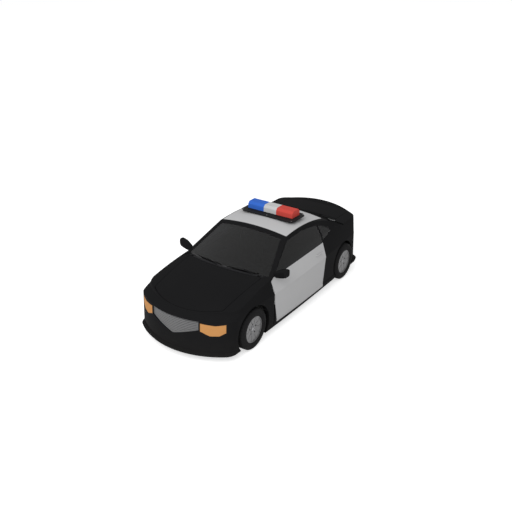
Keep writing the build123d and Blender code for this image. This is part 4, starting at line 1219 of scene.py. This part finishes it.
def add_dial_bar(build, middle, angle, away, rise, half, edge):
    """A small bar on a dial, at an angle and a distance from its middle."""
    turn = DIAL_FRAME @ Matrix.Rotation(angle, 4, "Z")
    spot = middle + turn @ Vector((away, 0, rise))
    add_block(build, spot - Vector(half), spot + Vector(half), edge, 1, turn)


def instruments():
    """The cluster in the dashboard's hood: bezels, plain marks and needles."""
    plate = bmesh.new()
    add_prism(plate, CLUSTER, *CLUSTER_X, CLUSTER_EDGE, 1)
    marks = bmesh.new()
    needles = bmesh.new()
    for x, radius in DIALS:
        middle = Vector((x, *DIAL_YZ))
        place = Matrix.Translation(middle) @ DIAL_FRAME
        rim = [place @ Vector((radius * math.cos(angle), radius * math.sin(angle), DIAL_RISE))
               for angle in turns(DIAL_STEPS)]
        add_tube(plate, rim, DIAL_RIM, DIAL_RIM_SIDES, closed=True)
        for angle in MARK_ANGLES:
            add_dial_bar(marks, middle, angle, radius * MARK_PLACE, DIAL_RISE, MARK_HALF, MARK_EDGE)
        half = (radius * NEEDLE_LENGTH, *NEEDLE_HALF)
        add_dial_bar(needles, middle, NEEDLE_ANGLE, radius * NEEDLE_PLACE, NEEDLE_RISE, half, NEEDLE_EDGE)
    make_piece("instrument_cluster", plate, "black_plastic", "root")
    make_piece("instrument_marks", marks, "white_lens", "root")
    make_piece("instrument_needles", needles, "red_lens", "root")


VENT_X = [-0.680, -0.165, 0.165, 0.600]
VENT_HALF = 0.062
VENT_Z = (0.724, 0.786)
VENT_RIM = 0.0045
VENT_RIM_PROUD = 0.002
VENT_SLATS = 5
SLAT_HALF = Vector((VENT_HALF, 0.006, 0.0015))
SLAT_EDGE = 0.0007
SLAT_TURN = Matrix.Rotation(math.radians(25), 4, "X")
KNOB_X = (-0.055, 0, 0.055)
KNOB_YZ = (-0.548, 0.668)
KNOB_SIZE = (0.015, 0.020)
KNOB_WAY = (0, 0.6, -0.8)
# The dashboard's upright face: y and z at its foot, and how far it leans back per unit of height
DASH_FOOT = (-0.520, 0.690)
DASH_LEAN = 0.020 / 0.110


def dash_face(z):
    """How far back the dashboard's upright face stands at a height."""
    return DASH_FOOT[0] + (z - DASH_FOOT[1]) * DASH_LEAN


def dash_vents():
    """Louvred vents and three knobs on the dashboard."""
    low, high = VENT_Z
    build = bmesh.new()
    for x in VENT_X:
        left = x - VENT_HALF
        right = x + VENT_HALF
        corners = [(left, low), (right, low), (right, high), (left, high)]
        rim = [(u, dash_face(z) + VENT_RIM_PROUD, z) for u, z in corners]
        add_tube(build, rim, VENT_RIM, closed=True)
        for slat in range(VENT_SLATS):
            z = low + (slat + 0.5) * (high - low) / VENT_SLATS
            middle = Vector((x, dash_face(z), z))
            add_block(build, middle - SLAT_HALF, middle + SLAT_HALF, SLAT_EDGE, 1, SLAT_TURN)
    for x in KNOB_X:
        add_dome(build, (x, *KNOB_YZ), *KNOB_SIZE, KNOB_WAY)
    make_piece("dash_vents", build, "black_plastic", "root")


# Console seen from the side (y, z)
CONSOLE = [(-0.56, 0.325), (-0.56, 0.50), (-0.50, 0.50), (-0.40, 0.42), (0.02, 0.405), (0.06, 0.47),
           (0.42, 0.47), (0.44, 0.325)]
CONSOLE_X = 0.092
CONSOLE_EDGE = 0.012
CUP_X = -0.040
CUP_Y = (-0.075, -0.005)
CUP_Z = 0.412
CUP_R = 0.034
CUP_RIM = 0.004
CUP_STEPS = 24
CUP_RIM_SIDES = 6


def console():
    """The console between the seats, with two cup holders' rims."""
    build = bmesh.new()
    add_prism(build, CONSOLE, -CONSOLE_X, CONSOLE_X, CONSOLE_EDGE, 3)
    for y in CUP_Y:
        rim = [(CUP_X + CUP_R * math.cos(angle), y + CUP_R * math.sin(angle), CUP_Z)
               for angle in turns(CUP_STEPS)]
        add_tube(build, rim, CUP_RIM, CUP_RIM_SIDES, closed=True)
    make_piece("console", build, "trim_plastic", "root")


# Each pedal's x and half its width
PEDALS = [(0.275, 0.022), (0.365, 0.036), (0.455, 0.030)]
PEDAL_Y = (-0.762, -0.750)
PEDAL_Z = (0.345, 0.410)
PEDAL_EDGE = 0.004
PEDAL_TURN = Matrix.Rotation(math.radians(-20), 4, "X")
PEDAL_ARM = [(-0.758, 0.390), (-0.800, 0.460), (-0.882, 0.560)]
PEDAL_ARM_R = 0.008
# Ribs on a pedal: heights, share of its width, y at its mid height, lean, half sizes and rounding
RIB_Z = evenly(0.356, 0.398, 3)
RIB_WIDTH = 0.85
RIB_Y = -0.750
RIB_LEAN = 0.364
RIB_HALF = (0.006, 0.002)
RIB_EDGE = 0.001


def pedals():
    """Three ribbed pedals on their arms."""
    build = bmesh.new()
    for x, half in PEDALS:
        add_block(build, (x - half, PEDAL_Y[0], PEDAL_Z[0]), (x + half, PEDAL_Y[1], PEDAL_Z[1]),
                  PEDAL_EDGE, 2, PEDAL_TURN)
        for z in RIB_Z:
            middle = Vector((x, RIB_Y + RIB_LEAN * (z - sum(PEDAL_Z) / 2), z))
            size = Vector((half * RIB_WIDTH, *RIB_HALF))
            add_block(build, middle - size, middle + size, RIB_EDGE, 1)
        add_tube(build, [(x, y, z) for y, z in PEDAL_ARM], PEDAL_ARM_R)
    make_piece("pedals", build, "rubber", "root")


# Engine bay and boot

INTAKE = [(0.400, -1.430, 0.560), (0.400, -1.370, 0.610), (0.360, -1.290, 0.650), (0.290, -1.240, 0.670),
          (0.200, -1.220, 0.690)]
INTAKE_R = 0.034
INTAKE_SIDES = 16
CLAMP_R = 0.038
CLAMP_HALF = 0.006
COOLANT_HOSES = [((0.25, -1.722, 0.590), (0.14, -1.600, 0.640)),
                 ((-0.25, -1.722, 0.340), (-0.16, -1.615, 0.400))]
COOLANT_R = 0.019
COOLANT_SIDES = 12
COOLANT_ARCH = 0.03


def engine_hoses():
    """The clamped intake pipe and two coolant hoses."""
    build = bmesh.new()
    add_tube(build, INTAKE, INTAKE_R, INTAKE_SIDES)
    for before, after in zip(INTAKE, INTAKE[1:]):
        middle = (Vector(before) + Vector(after)) / 2
        along = (Vector(after) - Vector(before)).normalized() * CLAMP_HALF
        add_tube(build, [middle - along, middle + along], CLAMP_R, INTAKE_SIDES)
    for start, end in COOLANT_HOSES:
        middle = Vector(start).lerp(Vector(end), 0.5) + Vector((0, 0, COOLANT_ARCH))
        add_tube(build, [start, middle, end], COOLANT_R, COOLANT_SIDES)
    make_piece("engine_hoses", build, "rubber", "root")


# Mats in the footwells of one side: two distances from the middle, then two places along the car
FLOOR_MATS = [(0.15, 0.60, -0.70, -0.20), (0.15, 0.60, 0.45, 0.80)]
MAT_Z = (0.214, 0.221)
MAT_EDGE = 0.003
MAT_RIM_Z = 0.222
MAT_RIM = 0.005


def floor_mats():
    """Rubber mats with raised edges in the footwells."""
    build = bmesh.new()
    for side in SIDES.values():
        for near, far, front, back in FLOOR_MATS:
            add_block(build, (side * near, front, MAT_Z[0]), (side * far, back, MAT_Z[1]), MAT_EDGE, 1)
            corners = [(near, front), (far, front), (far, back), (near, back)]
            add_tube(build, [(side * x, y, MAT_RIM_Z) for x, y in corners], MAT_RIM, closed=True)
    make_piece("floor_mats", build, "rubber", "root")


SCREEN_Y = dash_face(0.75)
COVER_RIBS = (-0.15, -0.05, 0.05, 0.15)
RADIATOR_FINS = evenly(0.290, 0.613, 17)
# Plain fittings on the body: finish, then blocks as two corners, rounding and its steps, then tubes as
# points, radius and sides, then domes as middle, radius and height
FITTINGS = {
    "light_bar_screws": ("bolt_steel", [], [], [
        ((x, y, 1.370), 0.008, 0.004) for x in (-0.472, 0, 0.472) for y in (0.310, 0.668)]),
    "tail_pipe_bore": ("rubber", [], [([(-0.440, 2.143, 0.196), (-0.440, 2.1458, 0.196)], 0.027, 28)], []),
    "dash_screen": ("dark_screen", [
        ((-0.088, SCREEN_Y - 0.010, 0.706), (0.088, SCREEN_Y + 0.012, 0.792), 0.006, 2)], [], []),
    "gear_and_brake_levers": ("black_plastic", [], [
        ([(0.020, -0.215, 0.400), (0.020, -0.205, 0.470), (0.020, -0.190, 0.540)], 0.007, 8),
        ([(0.052, 0.020, 0.410), (0.052, -0.060, 0.432), (0.052, -0.150, 0.455)], 0.011, 10)], [
        ((0.020, -0.187, 0.552), 0.021, 0.026), ((0.020, -0.213, 0.418), 0.040, 0.012),
        ((0.020, -0.213, 0.430), 0.032, 0.012), ((0.020, -0.213, 0.442), 0.024, 0.012),
        ((0.020, -0.213, 0.454), 0.016, 0.012)]),
    "inside_mirror": ("black_plastic", [((-0.110, -0.214, 1.158), (0.110, -0.188, 1.222), 0.010, 3)], [
        ([(0, -0.206, 1.195), (0, -0.230, 1.222), (0, -0.245, 1.246)], 0.008, 8)], []),
    "inside_mirror_glass": ("mirror_silver", [
        ((-0.102, -0.190, 1.165), (0.102, -0.186, 1.215), 0.0015, 1)], [], []),
    "sun_visors": ("felt", [
        ((side * 0.10, -0.125, 1.238), (side * 0.48, 0.030, 1.254), 0.007, 3)
        for side in SIDES.values()], [], []),
    "engine_cover": ("black_plastic", [
        ((-0.215, -1.575, 0.686), (0.215, -1.080, 0.722), 0.014, 3),
        *[((x - 0.022, -1.53, 0.716), (x + 0.022, -1.13, 0.730), 0.006, 2) for x in COVER_RIBS],
        ((0.300, -1.640, 0.400), (0.494, -1.400, 0.600), 0.018, 3)], [], []),
    "battery": ("black_plastic", [
        ((-0.494, -1.210, 0.402), (-0.295, -0.970, 0.424), 0.004, 2),
        ((-0.480, -1.195, 0.420), (-0.312, -0.985, 0.590), 0.006, 2),
        ((-0.476, -1.190, 0.586), (-0.316, -0.990, 0.606), 0.004, 2)], [], []),
    "battery_posts": ("bolt_steel", [], [
        ([(-0.345, y, 0.600), (-0.345, y, 0.624)], 0.009, 14) for y in (-1.155, -1.025)], []),
    "washer_bottle": ("white_lens", [((0.330, -1.130, 0.440), (0.494, -0.980, 0.600), 0.020, 3)], [], []),
    "washer_cap": ("black_plastic", [], [([(0.410, -1.055, 0.595), (0.410, -1.055, 0.626)], 0.024, 18)], []),
    "radiator": ("body_inner", [
        ((-0.400, -1.765, 0.270), (0.400, -1.722, 0.640), 0.004, 2),
        *[((-0.385, -1.772, z - 0.004), (0.385, -1.764, z + 0.004), 0.001, 1)
          for z in RADIATOR_FINS],
        *[((side * 0.385, -1.775, 0.262), (side * 0.430, -1.712, 0.648), 0.012, 2)
          for side in SIDES.values()],
        ((-0.505, -1.748, 0.640), (0.505, -1.700, 0.664), 0.006, 2)], [], []),
    "boot_mat": ("felt", [((-0.570, 1.495, 0.479), (0.570, 1.920, 0.489), 0.004, 2)], [], []),
}


def fitting(name, finish, blocks, tubes, domes):
    """A plain fitting on the body from the table's row."""
    build = bmesh.new()
    for block in blocks:
        add_block(build, *block)
    for tube in tubes:
        add_tube(build, *tube)
    for dome in domes:
        add_dome(build, *dome)
    make_piece(name, build, finish, "root")


for side_name, side in SIDES.items():
    for end in ENDS:
        treaded_tyre(end, side_name, side)
        wheel_fittings(end, side_name, side)
        brake(end, side_name, side)
    door_seals(side_name, side)
    opening_seals(side_name, side)
    mirror(side_name, side)
    hinge_covers(side_name, side)
    door_handle(side_name, side)
    door_trim(side_name, side)
edge_seals()
light_bar_gasket()
rear_reflectors()
bonnet_seals()
for name, spots in WIPERS.items():
    wiper(name, *spots)
for name, (node, *sizes) in LININGS.items():
    lining(name, node, *sizes, node if node in frame["bodies"] else "root")
seats()
instruments()
dash_vents()
console()
pedals()
engine_hoses()
floor_mats()
for name, row in FITTINGS.items():
    fitting(name, *row)
photo_camera()
studio()
dress_nodes()
